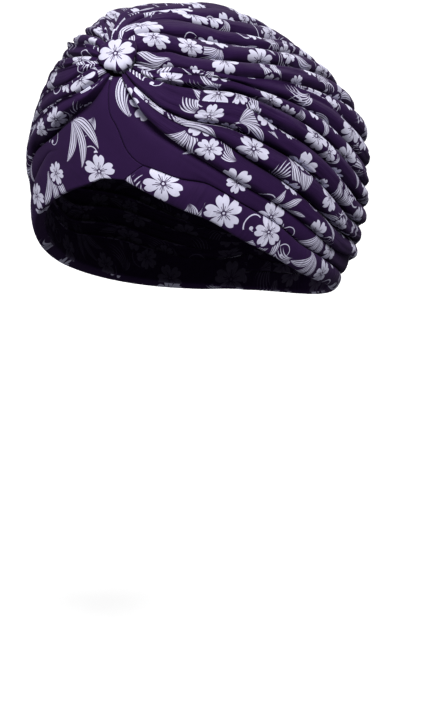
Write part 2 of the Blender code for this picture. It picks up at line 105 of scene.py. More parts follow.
# Panels: heights in millimetres, places as shares of the length from front to back or across
PANEL_STEPS = {"yoke": 18, "upper": 16, "lower": 14}
LEFT_PUFF = {"at": (0, 0.15, 0.4, 0.7, 1), "height": (0.4, 1.0, 2.6, 3.0, 1.5)}
RIGHT_PUFF = {"at": (0, 0.15, 0.35, 0.7, 1), "height": (0.3, 0.9, 3.0, 3.2, 1.5)}
BAND_PUFF = {"at": (0, 0.1, 0.5, 0.85, 1), "height": (1.6, 3.0, 3.4, 3.0, 2.0)}
BAND_SECTION = (0.35, 0.86, 1.0, 0.97, 0.86, 0.66, 0.3)
BEND_REACH = {"least": 0.04, "more": 0.36}
FLAT_SHARE = 0.8
FLAT_RISE = (0, 0.45)
FLAT_FALL = (0.4, 1.0)
FOLD_LIFT = {"above": 0.8, "below": 1.3}
FOLD_AZIMUTHS = (22, 46)
TUCK_DEPTH = 2.6
TUCK_BEGINS = (0.02, 0.08)
TUCK_RIGHT = (0.18, 0.36)
TUCK_LEFT = (0.10, 0.26)
TUCK_ACROSS = (0.02, 0.30)
BACK_CLOSING = (0.90, 0.995)
BACK_YOKE_HEIGHT = 1.5
BACK_BAND_HEIGHT = 2.0

# Knot, millimetres: reach is a share of the half sizes, rise is above the lining
KNOT_HALF_WIDTH = 9.4
KNOT_HALF_HEIGHT = 8.4
KNOT_SIDES = 72
KNOT_SQUARENESS = 2.5
KNOT_LOBES = {"count": 3, "depth": 0.05, "turn": 0.6}
KNOT_PLEATS = ({"count": 9, "depth": 0.028, "turn": 0.7}, {"count": 17, "depth": 0.020, "turn": 0.0})
KNOT_CREASES = {"count": 7, "depth": 0.35, "turn": 1.1}
KNOT_PRINT_SCALE = 1.06
KNOT_PROFILE = (
    (0.68, 0.4), (0.68, 2.6), (0.69, 4.6), (0.77, 5.7), (0.92, 6.6), (1.0, 8.0), (0.985, 9.3),
    (0.93, 10.3), (0.83, 11.0), (0.69, 11.5), (0.52, 11.85), (0.33, 12.05), (0.15, 12.15))

# Print: one UV unit is 100 mm of cloth. Motifs are in shares of their size, pitches in millimetres
PRINT_UNIT = 100.0
RIM_PRINT_STEP = 1.6
PANEL_PRINT_RADII = (84.0, 92.0)
RIBS = {"pitch": 0.9, "height": 0.35}
LOOPS = {"pitch": 0.75, "height": 0.25, "slant": 0.5}
KNIT_DEPTH = 0.00012
DRAG_DEPTH = 0.0011
DRAG_LINES = {"across": 0.36, "along": 0.030}
DRAG_PLACES = {"across": 0.045, "along": 0.022, "from": 0.36, "gain": 3.2}
BLOSSOM = {"reach": 1.04, "notch": 0.17, "eye": 0.15, "dot": 0.075, "long": 0.56, "short": 0.40,
           "beside": 0.46, "clear": 1.14}
SPRAY = {"foot": 0.47, "longest": 0.4, "shorter": 0.13, "stripes": 1.7, "clear": 0.03}
CURL = {"inner": 0.46, "growth": 0.52, "thin": 0.026, "thicker": 0.03, "dot": 0.17,
        "dot_at": (-0.36, -0.14)}
TUFT = {"Gap": 0.20, "Leaves": 7.0, "Belly": 0.030, "Sweep": 1.5, "Veins": 0.0}
PRINT_PLAN = (
    {"motif": "five_petal_blossom", "cell": 31.0, "drift": 8.0, "seed": 1.0, "size": 8.3,
     "likely": 0.86, "shift": 0.0, "form": {}},
    {"motif": "five_petal_blossom", "cell": 33.0, "drift": 10.0, "seed": 5.0, "size": 6.2,
     "likely": 0.60, "shift": 13.0, "form": {}},
    {"motif": "striped_leaf_spray", "cell": 36.0, "drift": 6.0, "seed": 9.0, "size": 26.0,
     "likely": 0.72, "shift": 7.0, "form": {}},
    {"motif": "dotted_curl", "cell": 29.0, "drift": 9.0, "seed": 14.0, "size": 6.6,
     "likely": 0.66, "shift": 19.0, "form": {}},
    {"motif": "striped_leaf_spray", "cell": 31.0, "drift": 6.0, "seed": 23.0, "size": 21.0,
     "likely": 0.60, "shift": 26.0, "form": TUFT},
)

# Lower panels: turn of the print, cloth, material slot, and the cut's flat size and area in metres
PANELS = (
    {"piece": "yoke_left_cloth", "node": "yoke_left", "side": 1, "turn": 0.4,
     "cloth": "smooth_jersey", "slot": "yoke_cloth", "flat": (0.27, 0.044), "area": 0.0036,
     "held": "stretched"},
    {"piece": "hem_band_cloth", "node": "hem_band", "side": 1, "turn": 0.5,
     "cloth": "gathered_jersey", "slot": "band_cloth", "flat": (0.26, 0.019), "area": 0.0040,
     "held": "folded"},
    {"piece": "yoke_right_cloth", "node": "yoke_right", "side": -1, "turn": 2.2,
     "cloth": "smooth_jersey", "slot": "yoke_cloth", "flat": (0.28, 0.058), "area": 0.0078,
     "held": "stretched"},
)

# Stage: the picture and the cap's middle in it in pixels, its scale in pixels for a millimetre,
# the camera's lengths in millimetres, those of the floor and the light in metres
PICTURE = {"width": 440, "height": 704, "scale": 1.965, "middle": (189.1, 171.1)}
PICTURE_DISTANCE = 1400.0
SENSOR = 36.0
FLOOR = {"radius": 14.0, "seen": (0.93, 0.93, 0.93, 1), "thrown": (0.12, 0.12, 0.13, 1)}
FRONT_LIGHT = {"at": (-1.0, -1.1, 0.6), "size": 0.7}
BOUNCE_SKY = 0.15
SUNS = (
    {"name": "sky_light", "share": 1.0, "angle": 24, "towards": (-0.50, 0.81, -0.72)},
    {"name": "back_light", "share": 0.45, "angle": 30, "towards": (-0.15, -0.9, -0.9)},
)

# Swellings of the head form: side, front and up part of the direction, sharpness, share of radius
SWELLINGS = (
    {"at": (0.00, -0.80, 0.60), "sharpness": 0.10, "share": 0.256},
    {"at": (0.35, -0.45, 0.82), "sharpness": 0.10, "share": 0.038},
    {"at": (0.50, 0.55, 0.65), "sharpness": 0.12, "share": -0.042},
    {"at": (0.75, 0.60, -0.20), "sharpness": 0.12, "share": -0.014},
)

FOLD_STATIONS = (8, 20, 35, 50, 70, 105, 140)
# Valleys top to bottom: lambda at the stations, where the valley begins, fullness of the roll below
LEFT_FOLDS = (
    {"lambda": (-28, -18, -8, -3, 4, 7, 6), "begins": 0, "full": 1.00},
    {"lambda": (-23, -12, 8, 12, 14, 15, 12), "begins": 36, "full": 0.90},
    {"lambda": (-16, -5, 24, 26, 23, 22, 18), "begins": 0, "full": 0.90},
    {"lambda": (-5, 16, 36, 38, 33, 29, 24), "begins": 28, "full": 0.80},
    {"lambda": (6, 39, 47, 47, 42, 36, 30), "begins": 0, "full": 1.00},
    {"lambda": (49, 62, 60, 56, 51, 44, 37), "begins": 0, "full": 1.10},
    {"lambda": (82, 78, 71, 66, 61, 54, 47), "begins": 0, "full": 1.00},
    {"lambda": (88, 80, 73, 69, 66, 65, 57), "begins": 86, "full": 0.90},
    {"lambda": (95, 84, 75, 73, 72, 74, 66), "begins": 32, "full": 0.75},
    {"lambda": (106, 90, 80, 79, 79, 81, 74), "begins": 0, "full": 0.90},
    {"lambda": (120, 106, 91, 88, 87, 88, 81), "begins": 46, "full": 0.95},
    {"lambda": (134, 119, 102, 98, 96, 96, 88), "begins": 0, "full": 1.05},
    {"lambda": (143, 128, 113, 109, 106, 103, 95), "begins": 36, "full": 1.05},
    {"lambda": (152, 138, 127, 121, 115, 110, 101), "begins": 0, "full": 1.00},
)
RIGHT_FOLDS = (
    {"lambda": (31, 26, 22, 17, 9, 7, 6), "begins": 0, "full": 1.00},
    {"lambda": (33, 31, 30, 26, 19, 14, 12), "begins": 30, "full": 0.90},
    {"lambda": (35, 36, 38, 35, 29, 22, 18), "begins": 45, "full": 0.90},
    {"lambda": (38, 42, 46, 44, 40, 32, 25), "begins": 0, "full": 1.00},
    {"lambda": (53, 56, 54, 52, 50, 43, 34), "begins": 0, "full": 1.00},
    {"lambda": (62, 61, 58, 57, 56, 50, 42), "begins": 55, "full": 0.85},
    {"lambda": (71, 66, 63, 62, 63, 58, 50), "begins": 0, "full": 0.95},
    {"lambda": (83, 78, 71, 71, 73, 69, 60), "begins": 0, "full": 1.00},
    {"lambda": (93, 86, 78, 77, 80, 77, 68), "begins": 60, "full": 0.90},
    {"lambda": (103, 95, 85, 84, 87, 84, 75), "begins": 0, "full": 1.00},
    {"lambda": (118, 101, 91, 89, 93, 91, 82), "begins": 52, "full": 0.95},
    {"lambda": (134, 108, 98, 94, 98, 98, 88), "begins": 0, "full": 1.10},
    {"lambda": (142, 115, 106, 100, 103, 104, 95), "begins": 62, "full": 0.95},
    {"lambda": (149, 122, 114, 107, 108, 109, 101), "begins": 0, "full": 1.00},
)
SEAM_TOP = 4.0
SEAM_BOTTOM = 115.0

# Edge lines of the lower panels: azimuth from the front, elevation
FRONT_SEAM = (
    (-2.0, 29.7), (-2.1, 26.6), (-1.9, 22.5), (0.5, 18.5), (3.0, 12.7), (5.9, 9.6), (8.2, 8.2))
BAND_TOP = (
    (8.2, 8.2), (12.5, 6.7), (20.1, 4.0), (27.5, 2.7), (32.5, 0.2), (40.1, -4.5), (55.6, -13.1),
    (70.6, -22.4), (82.3, -26.8), (100.3, -31.7), (121.0, -34.6), (150.0, -36.8), (180.0, -37.8))
HEM_LEFT = (
    (1.7, 3.4), (10.3, -1.1), (19.5, -5.7), (28.2, -9.4), (40.8, -17.2), (53.2, -23.6),
    (63.8, -28.8), (75.0, -33.2), (92.0, -37.2), (120.4, -40.3), (150.0, -42.5), (180.0, -43.5))
SIDE_CREASE = (
    (8.2, 8.2), (0.0, 8.7), (-9.0, 10.2), (-19.0, 11.4), (-31.5, 10.4), (-37.4, 6.8), (-46.1, 1.1),
    (-59.0, -6.5), (-75.0, -17.0), (-95.0, -26.5), (-125.0, -33.2), (-150.0, -36.5),
    (-180.0, -37.8))
HEM_RIGHT = (
    (1.7, 3.4), (-5.1, 3.6), (-11.9, 1.1), (-20.0, -1.5), (-31.1, -5.8), (-44.0, -12.2),
    (-60.0, -21.3), (-75.0, -29.0), (-95.0, -36.0), (-125.0, -40.6), (-150.0, -42.5),
    (-180.0, -43.5))
RING_ARC_LEFT = (200.0, 184.0, 168.0)
RING_ARC_RIGHT = (-160.0, -156.5, -153.0)


def curve_value(stations, values, at):
    """Shape-keeping cubic through the stations, with its ends held flat outside them."""
    x = np.asarray(stations, float)
    y = np.asarray(values, float)
    step = np.diff(x)
    slope = np.diff(y) / step
    tangent = np.zeros(len(x))
    for i in range(1, len(x) - 1):
        if slope[i - 1] * slope[i] > 0:
            a = 2 * step[i] + step[i - 1]
            b = step[i] + 2 * step[i - 1]
            tangent[i] = (a + b) / (a / slope[i - 1] + b / slope[i])
    tangent[0], tangent[-1] = slope[0], slope[-1]
    at = np.clip(np.asarray(at, float), x[0], x[-1])
    k = np.clip(np.searchsorted(x, at, side="right") - 1, 0, len(x) - 2)
    t = (at - x[k]) / step[k]
    h00 = 2 * t ** 3 - 3 * t ** 2 + 1
    h10 = t ** 3 - 2 * t ** 2 + t
    h01 = 3 * t ** 2 - 2 * t ** 3
    h11 = t ** 3 - t ** 2
    return h00 * y[k] + h10 * step[k] * tangent[k] + h01 * y[k + 1] + h11 * step[k] * tangent[k + 1]


def smooth_step(value, start, end):
    """0 before the start, 1 past the end and an even rise between them."""
    t = np.clip((np.asarray(value, float) - start) / (end - start), 0, 1)
    return t * t * (3 - 2 * t)


def bell(value, middle, reach):
    """1 at the middle and fading on both sides."""
    return np.exp(-((value - middle) / reach) ** 2)


def unit(vector):
    """Vectors of the same direction and length 1."""
    vector = np.asarray(vector, float)
    return vector / np.linalg.norm(vector, axis=-1, keepdims=True)


def ripple(a, b, seed):
    """Gentle repeatable waviness between -1 and 1 over two coordinates."""
    total = 0.0
    for k, (p, q, weight) in enumerate(((1.0, 0.7, 0.5), (-0.6, 1.3, 0.3), (1.9, -1.7, 0.2))):
        total = total + weight * np.sin(p * a + q * b + seed * (1.7 + k) + 2.1 * k)
    return total


def knot_axes():
    """Directions outward through the knot, upward along the cap there, and to the wearer's left."""
    k = math.radians(KNOT_ELEVATION)
    outward = np.array([0.0, -math.cos(k), math.sin(k)])
    upward = np.array([0.0, math.sin(k), math.cos(k)])
    return outward, upward, np.array([1.0, 0.0, 0.0])


def from_knot(alpha, lam):
    """Direction at alpha degrees from the knot and lambda degrees round it."""
    outward, upward, side = knot_axes()
    alpha, lam = np.broadcast_arrays(np.asarray(alpha, float), np.asarray(lam, float))
    lift = RING_LIFT * np.cos(np.radians(lam)) * bell(alpha, 0, RING_LIFT_REACH)
    a, l = np.radians(alpha + lift)[..., None], np.radians(lam)[..., None]
    direction = np.cos(a) * outward + np.sin(a) * (np.cos(l) * upward + np.sin(l) * side)
    spread = smooth_step(alpha, 80, 180) * BACK_SPREAD * (1 - np.abs(lam) / SPREAD_SPAN)
    return unit(direction + spread[..., None] * upward)


def from_angles(azimuth, elevation):
    """Direction at an azimuth from the front and an elevation."""
    a, e = np.radians(azimuth), np.radians(elevation)
    return np.stack([np.sin(a) * np.cos(e), -np.cos(a) * np.cos(e), np.sin(e)], -1)


def head_radius(direction):
    """Radius of the form that the tops of the rolls touch, in millimetres."""
    direction = np.asarray(direction, float)
    x, y, z = direction[..., 0], direction[..., 1], direction[..., 2]
    reach = np.where(y < 0, FRONT_REACH, BACK_REACH)
    height = np.where(z > 0, CROWN_HEIGHT, NAPE_DEPTH)
    width = HALF_WIDTH * (1 + BACK_WIDENING * y)
    plan = np.abs(x / width) ** PLAN_POWER + np.abs(y / reach) ** PLAN_POWER
    whole = plan ** (PROFILE_POWER / PLAN_POWER) + np.abs(z / height) ** PROFILE_POWER
    mirrored = np.stack([np.abs(x), y, z], -1)
    factor = np.ones(x.shape)
    for swelling in SWELLINGS:
        near = mirrored @ unit(swelling["at"])
        factor = factor + swelling["share"] * np.exp((near - 1) / swelling["sharpness"])
    return factor * whole ** (-1 / PROFILE_POWER)


def cloth_point(direction, height):
    """Point of the cloth's outer face, height above the valley floors."""
    direction = unit(direction)
    alpha = np.degrees(np.arccos(np.clip(direction @ knot_axes()[0], -1, 1)))
    gather = GATHER_RISE * bell(alpha, KNOT_RING, GATHER_REACH)
    return direction * (head_radius(direction) - ROLL_HEIGHT + gather + height)[..., None]


def lining_point(direction, height=0.0):
    """Point of the cloth's inner face, height above the lining."""
    direction = unit(direction)
    return direction * (head_radius(direction) - ROLL_HEIGHT - WALL + height)[..., None]


def fold_lines(folds, alphas):
    """Lambda of every valley at every alpha."""
    lines = []
    for index, fold in enumerate(folds):
        end = SEAM_TOP + index * (SEAM_BOTTOM - SEAM_TOP) / (len(folds) - 1)
        lines.append(curve_value(FOLD_STATIONS + (180,), tuple(fold["lambda"]) + (end,), alphas))
    return np.array(lines)


def fold_depths(folds, alphas):
    """How far every valley has parted its two rolls, from 0 to 1."""
    depths = []
    for fold in folds:
        begins = fold["begins"]
        start = smooth_step(alphas, begins - BIRTH_LENGTH, begins + BIRTH_LENGTH)
        depths.append(np.ones(len(alphas)) if begins == 0 else start)
    return np.array(depths)


def along(points):
    """Running length of each row of points, in millimetres."""
    step = np.linalg.norm(np.diff(points, axis=-2), axis=-1)
    start = np.zeros(step.shape[:-1] + (1,))
    return np.concatenate([start, np.cumsum(step, axis=-1)], axis=-1)


def crown_stations():
    """Alpha of every station along the rolls, closer together at both ends."""
    alphas = np.concatenate([
        np.arange(KNOT_RING, 30, 1.25), np.arange(30, 168, 2.0), np.linspace(168, 180, 9)])
    alphas[0] += math.degrees(SEAM_GAP / 2 / KNOT_FORM_RADIUS)
    return alphas


def crown_valleys(alphas):
    """Lambda and depth of every valley from the wearer's right to the left, and the rolls' fullness."""
    lines = np.vstack([-fold_lines(RIGHT_FOLDS, alphas)[::-1], fold_lines(LEFT_FOLDS, alphas)])
    depth = np.vstack([fold_depths(RIGHT_FOLDS, alphas)[::-1], fold_depths(LEFT_FOLDS, alphas)])
    arc = np.maximum(np.sin(np.radians(alphas)), 0.05) * MEAN_RADIUS
    shift = np.where(alphas < 179, np.degrees(SEAM_GAP / 2 / arc), 0)
    lines[0] += shift
    lines[-1] -= shift
    right = [fold["full"] for fold in RIGHT_FOLDS[:-1]][::-1]
    return lines, depth, right + [1.0] + [fold["full"] for fold in LEFT_FOLDS[:-1]]


def roll_creases(count):
    """Small creases of every roll: place across it, first and last alpha, and depth."""
    draw = np.random.default_rng(11)
    creases = []
    for _ in range(count):
        starts = draw.uniform(*CREASE_DRAWS["start"], CREASES_PER_ROLL)
        creases.append([
            (draw.uniform(*CREASE_DRAWS["across"]), start,
             start + draw.uniform(*CREASE_DRAWS["length"]), draw.uniform(*CREASE_DRAWS["depth"]))
            for start in starts])
    return creases


def roll_sizes(alphas, roll, width, depth, fullness, free):
    """Height of a roll's crest, and of its two valleys."""
    reach = width[roll].copy()
    if roll > 0:
        reach += (1 - depth[roll]) * width[roll - 1]
    if roll < len(width) - 1:
        reach += (1 - depth[roll + 1]) * width[roll + 1]
    wave = 1 + ROLL_WAVE["share"] * ripple(alphas / ROLL_WAVE["length"], roll * 2.3, 3.0) * free
    rise = FINGER_RISE if roll < len(RIGHT_FOLDS) - 1 else FINGER_RISE_LEFT
    fingers = rise * bell(alphas, FINGER_MIDDLE, FINGER_REACH)
    top = np.minimum(ROLL_HEIGHT * fullness * (wave + fingers / 2),
                     (ROLL_SLENDERNESS + fingers) * reach)
    sink = np.minimum(VALLEY_SINK, (VALLEY_SLENDERNESS + fingers / 3) * reach)
    sink = sink * free * smooth_step(alphas, 6, 12)
    return top, [(1 - depth[k]) * BIRTH_HEIGHT * top - depth[k] * sink for k in (roll, roll + 1)]


def fine_relief(alphas, lam, t, roll):
    """Fine waves along a roll, and the tight puckers beside the knot."""
    small = ripple(alphas / FINE_WAVE["length"] + 3 * t, lam / FINE_WAVE["spread"], roll)
    tight = np.sin(lam * PUCKERS["pitch"] + PUCKERS["bend"] * np.sin(alphas / 5.0))
    return (FINE_WAVE["height"] * small * smooth_step(alphas, 8, 20)
            + PUCKERS["height"] * tight * bell(alphas, PUCKERS["alpha"], PUCKERS["reach"]))


def crease_depth(alphas, t, roll, creases):
    """Depth of a roll's small creases at the share t across it."""
    return sum(
        deep * bell(t, where + 0.06 * np.sin(alphas / 9.0 + roll), CREASE_WIDTH)
        * smooth_step(alphas, start, start + 8) * (1 - smooth_step(alphas, end - 10, end))
        for where, start, end, deep in creases)


def pocket_depth(alphas, lam):
    """Depth of the small hollow beside the knot on the wearer's left."""
    return (POCKET["depth"] * bell(alphas, POCKET["alpha"], POCKET["length"])
            * bell(lam, POCKET["lambda"], POCKET["spread"]))


def crown_sheets(around, print_pitch):
    """Outer and lining points of the crown, with the print coordinates of each roll."""
    alphas = crown_stations()
    lines, depth, full = crown_valleys(alphas)
    valley = cloth_point(from_knot(alphas[None, :], lines), np.zeros(lines.shape))
    width = np.linalg.norm(np.diff(valley, axis=0), axis=-1)
    evened = smooth_step(alphas, EVENED_FROM, 180)
    free = 1 - evened
    middle_roll = len(RIGHT_FOLDS) - 1
    arc = MEAN_RADIUS * np.maximum(np.sin(np.radians(alphas)), 0.12)
    shares = (1 - np.cos(np.pi * np.arange(around + 1) / around)) / 2
    creases = roll_creases(len(width))
    outer_rows, inner_rows, prints = [], [], []
    for roll in range(len(width)):
        fullness = full[roll] * free + evened
        top, floors = roll_sizes(alphas, roll, width, depth, fullness, free)
        lean = 1.0 if roll == middle_roll else ROLL_LEAN
        outer = []
        for t in shares:
            place = t ** lean if roll >= middle_roll else 1 - (1 - t) ** lean
            bulge = max(1 - abs(2 * place - 1) ** ROLL_SECTION["flatness"], 0.0)
            bulge = bulge ** (1 / ROLL_SECTION["roundness"])
            floor = floors[0] * (1 - t) + floors[1] * t
            lam = lines[roll] * (1 - t) + lines[roll + 1] * t
            fade = math.sin(math.pi * t) * free
            height = (floor + (top - floor) * bulge + fine_relief(alphas, lam, t, roll) * fade
                      - pocket_depth(alphas, lam) - crease_depth(alphas, t, roll, creases[roll]) * free)
            droop = np.degrees(ROLL_SHEAR * (height - floor) / arc) * free
            droop = droop * np.sign(roll - middle_roll) * smooth_step(alphas, 8, 18)
            direction = from_knot(alphas, lam + np.where(height > floor, droop, 0))
            outer.append(cloth_point(direction, height))
            if t < 1 or roll == len(width) - 1:
                outer_rows.append(outer[-1])
                lining = np.minimum(0.5 * bulge * free, height + WALL - THIN_WALL)
                inner_rows.append(lining_point(direction, lining))
        outer = np.array(outer)
        across = along(outer.transpose(1, 0, 2)).T
        across = across - across[around // 2][None, :] + roll * print_pitch
        crest = along(outer[around // 2])
        prints.append(np.stack([across, np.broadcast_to(crest, across.shape)], -1))
    outer, inner = np.array(outer_rows), np.array(inner_rows)
    outer[:, -1, 0] = 0.0
    inner[:, -1, 0] = 0.0
    return outer, inner, prints


def line_directions(rows, count_between=14):
    """Fine run of directions through a table of azimuth and elevation rows."""
    azimuth = [row[0] for row in rows]
    elevation = [row[1] for row in rows]
    sign = 1 if azimuth[-1] > azimuth[0] else -1
    if all(sign * (b - a) > 0 for a, b in zip(azimuth, azimuth[1:])):
        fine = np.linspace(azimuth[0], azimuth[-1], count_between * len(rows))
        height = curve_value([sign * a for a in azimuth], elevation, sign * fine)
        return from_angles(fine, height)
    place = np.arange(len(rows), dtype=float)
    fine = np.linspace(0, len(rows) - 1, count_between * len(rows))
    return from_angles(curve_value(place, azimuth, fine), curve_value(place, elevation, fine))


def shares_of(directions):
    """Share of the whole length at which each direction of a line lies."""
    length = along(cloth_point(directions, np.zeros(len(directions))))
    return length / length[-1]


def at_shares(directions, shares):
    """Directions of a line at the given shares of its length."""
    length = shares_of(directions)
    return unit(np.stack([np.interp(shares, length, directions[:, k]) for k in range(3)], -1))


def crown_edge(folds, arc, side, alphas):
    """The crown's lower edge on one side, with its run round the knot's ring."""
    line = side * fold_lines(folds, alphas)[-1]
    edge = from_knot(alphas, line)
    edge[-1, 0] = 0.0
    ring = np.interp(np.linspace(0, 2.9, 7), [0, 1, 2, 3], list(arc) + [side * abs(line[0])])
    return np.vstack([from_knot(np.full(len(ring), KNOT_RING), ring), unit(edge)])


def inset_line(line, toward, distance):
    """A line moved over the head form towards another by a distance in millimetres."""
    tangent = np.gradient(line, axis=0)
    sideways = unit(np.cross(line, tangent))
    facing = np.sign(np.sum(sideways * (toward - line), axis=-1))
    facing = np.where(facing == 0, 1.0, facing)
    reach = distance / (head_radius(line) - ROLL_HEIGHT)
    return unit(line + sideways * (facing * reach)[:, None])


def edge_spaced(steps):
    """Shares from 0 to 1 that stand closer together at both ends."""
    t = np.linspace(0, 1, steps + 1)
    return 0.45 * t + 0.55 * (1 - np.cos(np.pi * t)) / 2


def panel_grid(lines, shares_across, front_line=None):
    """Directions of a panel between its lines, bent at the front to meet the seam's line."""
    rows = []
    for k, shares in enumerate(shares_across):
        a, b = lines[k], lines[k + 1]
        if k == 0:
            a = inset_line(a, b, SEAM_GAP / 2)
        if k == len(shares_across) - 1:
            b = inset_line(b, lines[k], SEAM_GAP / 2)
        rows += [unit(a * (1 - t) + b * t) for t in (shares if k == 0 else shares[1:])]
    grid = np.array(rows)
    if front_line is not None:
        bend = front_line - grid[:, 0]
        bend[0] = bend[-1] = 0.0
        part = np.interp(np.arange(len(grid)), np.arange(len(shares_across[0])), shares_across[0])
        reach = BEND_REACH["least"] + BEND_REACH["more"] * np.sqrt(1 - part)
        fade = 1 - smooth_step(shares_of(lines[0])[None, :] / reach[:, None], 0.0, 1.0)
        grid = unit(grid + bend[:, None, :] * fade[..., None])
    grid[:, 0] = inset_line(grid[:, 0], grid[:, 2], SEAM_GAP / 2)
    return grid


def edge_drop(points):
    """How far a quarter round lets the cloth down near its edge on every side."""
    across = along(points.transpose(1, 0, 2)).T
    lengthwise = along(points)
    near = np.minimum.reduce([across, across[-1:] - across, lengthwise])
    part = np.clip(1 - near / EDGE_ROUND, 0, 1)
    return EDGE_ROUND * (1 - np.sqrt(np.maximum(1 - part ** 2, 0)))


def panel_sheets(grid, high, side):
    """Outer and lining points of a panel, its rim rounded over."""
    drop = edge_drop(cloth_point(grid, high))
    outer = cloth_point(grid, high - drop)
    inner = lining_point(grid, np.minimum(drop, high - drop + WALL - THIN_WALL))
    for sheet in (outer, inner):
        sheet[:, -1, 0] = side * BACK_GAP / 2
    return outer, inner


def panel_print(grid, side, turn):
    """Print coordinates of a panel laid out flat over the head form, turned by an angle."""
    round_side = (side * np.arctan2(grid[..., 0], -grid[..., 1]) + 1) % (2 * np.pi) - 1
    across = side * round_side * PANEL_PRINT_RADII[0]
    upward = np.arcsin(grid[..., 2]) * PANEL_PRINT_RADII[1]
    c, s = math.cos(turn), math.sin(turn)
    return np.stack([c * across - s * upward, s * across + c * upward], -1)


def rounded(share, sharp=2.4):
    """Height across a plump section, 0 at both edges and 1 in the middle."""
    return np.sqrt(np.maximum(1 - np.abs(2 * share - 1) ** sharp, 0))


def front_points(shares):
    """Directions down the front seam, from the knot's ring to its foot."""
    line = line_directions(FRONT_SEAM)
    line[0] = from_knot(KNOT_RING, RING_ARC_LEFT[0])
    return at_shares(line, shares)


def tuck(shares, reach, across):
    """How far a panel goes in under the crown's last roll near the knot."""
    lengthwise = smooth_step(shares, *TUCK_BEGINS) * (1 - smooth_step(shares, *reach))
    return (TUCK_DEPTH * lengthwise)[None, :] * (1 - smooth_step(across, *TUCK_ACROSS))


def puff(table, shares):
    """Height along a panel from its table."""
    return curve_value(table["at"], table["height"], shares)[None, :]


def band_section(across):
    """Height across the hem fold, fullest near its top."""
    return curve_value(np.arange(7) / 6, BAND_SECTION, across)


def closed_back(shares, high, closed):
    """Height that comes to the centre back's own section, the same on both sides."""
    closing = smooth_step(shares, *BACK_CLOSING)[None, :]
    return high * (1 - closing) + closing * closed


def left_panels(alphas):
    """Directions and heights of the left yoke and of the hem band."""
    top = crown_edge(LEFT_FOLDS, RING_ARC_LEFT, 1, alphas)
    shares = shares_of(top)
    middle = at_shares(line_directions(BAND_TOP), shares)
    bottom = at_shares(line_directions(HEM_LEFT), shares)
    t = edge_spaced(PANEL_STEPS["yoke"])
    yoke = panel_grid([top, middle], [t], front_points(t))
    band = panel_grid([middle, bottom], [t])
    across, length = t[:, None], shares[None, :]
    plump = rounded(across)
    yoke_high = (puff(LEFT_PUFF, shares) * plump + 0.3 * ripple(length * 24, across * 5, 1.0) * plump
                 - tuck(shares, TUCK_LEFT, across))
    yoke_high = closed_back(shares, yoke_high, BACK_YOKE_HEIGHT * plump)
    lean = band_section(across)
    band_high = (puff(BAND_PUFF, shares) * lean
                 + 0.35 * ripple(length * 20, across * 3, 6.0) * plump)
    return (yoke, yoke_high), (band, closed_back(shares, band_high, BACK_BAND_HEIGHT * lean))


def right_panel(alphas):
    """Directions and heights of the right yoke, with the soft fold along its lower edge."""
    top = crown_edge(RIGHT_FOLDS, RING_ARC_RIGHT, -1, alphas)
    shares = shares_of(top)
    crease = at_shares(line_directions(SIDE_CREASE), shares)
    bottom = at_shares(line_directions(HEM_RIGHT), shares)
    upper, lower = edge_spaced(PANEL_STEPS["upper"]), edge_spaced(PANEL_STEPS["lower"])
    seam = front_points(upper)
    toe = unit(np.array([seam[-1] * (1 - t) + bottom[0] * t for t in lower[1:]]))
    grid = panel_grid([top, crease, bottom], [upper, lower], np.vstack([seam, toe]))
    azimuth = -np.degrees(np.arctan2(crease[:, 0], -crease[:, 1]))
    deep = smooth_step(azimuth, *FOLD_AZIMUTHS)[None, :]
    u, v = upper[:, None], lower[1:, None]
    swell = puff(RIGHT_PUFF, shares)
    flat = FLAT_SHARE * swell * (1 - deep)
    high_upper = (flat * smooth_step(u, *FLAT_RISE)
                  + deep * (swell + FOLD_LIFT["above"]) * rounded(u) - tuck(shares, TUCK_RIGHT, u))
    fold_section = 0.25 * v + 0.95 * rounded(0.04 + 0.86 * v)
    high_lower = (flat * (1 - 0.6 * smooth_step(v, *FLAT_FALL))
                  + deep * (swell + FOLD_LIFT["below"]) * fold_section)
    whole = np.concatenate([upper, 1 + lower[1:]])[:, None]
    run = along(cloth_point(grid, np.zeros(grid.shape[:2])).transpose(1, 0, 2)).T
    high = np.vstack([high_upper, high_lower]) + 0.3 * ripple(
        shares[None, :] * 22, run / 12, 9.0) * np.sin(np.pi * whole / 2)
    closed = np.vstack([BACK_YOKE_HEIGHT * rounded(u), BACK_BAND_HEIGHT * band_section(v)])
    return grid, closed_back(shares, high, closed)


def laid_grid(outer, inner, joined=False):
    """Grid laid on the outer face and extruded to the lining, with each vertex's place kept."""
    rows, cols = outer.shape[:2]
    work = bmesh.new()
    bmesh.ops.create_grid(work, x_segments=cols - 1, y_segments=rows - 1, size=1.0)
    for layer in ("place", "deep"):
        work.verts.layers.int.new(layer)
    place, deep = (work.verts.layers.int[layer] for layer in ("place", "deep"))
    work.verts.ensure_lookup_table()
    for index, vert in enumerate(work.verts):
        vert[place] = index
        vert.co = 0.001 * outer[index // cols, index % cols]
    if joined:
        ends = [work.verts[row * cols + cols - 1] for row in range(rows)]
        twins = {ends[-1 - row]: ends[row] for row in range(rows // 2)}
        bmesh.ops.weld_verts(work, targetmap=twins)
    made = bmesh.ops.extrude_face_region(work, geom=work.faces[:])
    for vert in (item for item in made["geom"] if isinstance(item, bmesh.types.BMVert)):
        vert[deep] = 1
        vert.co = 0.001 * inner[vert[place] // cols, vert[place] % cols]
    for face in work.faces:
        face.smooth = True
        face.material_index = 1 if all(vert[deep] for vert in face.verts) else 0
    for edge in work.edges:
        edge.smooth = not all(abs(vert.co.x) < 2e-5 and vert.co.y > 0 for vert in edge.verts)
    bmesh.ops.recalc_face_normals(work, faces=work.faces[:])
    return work, place


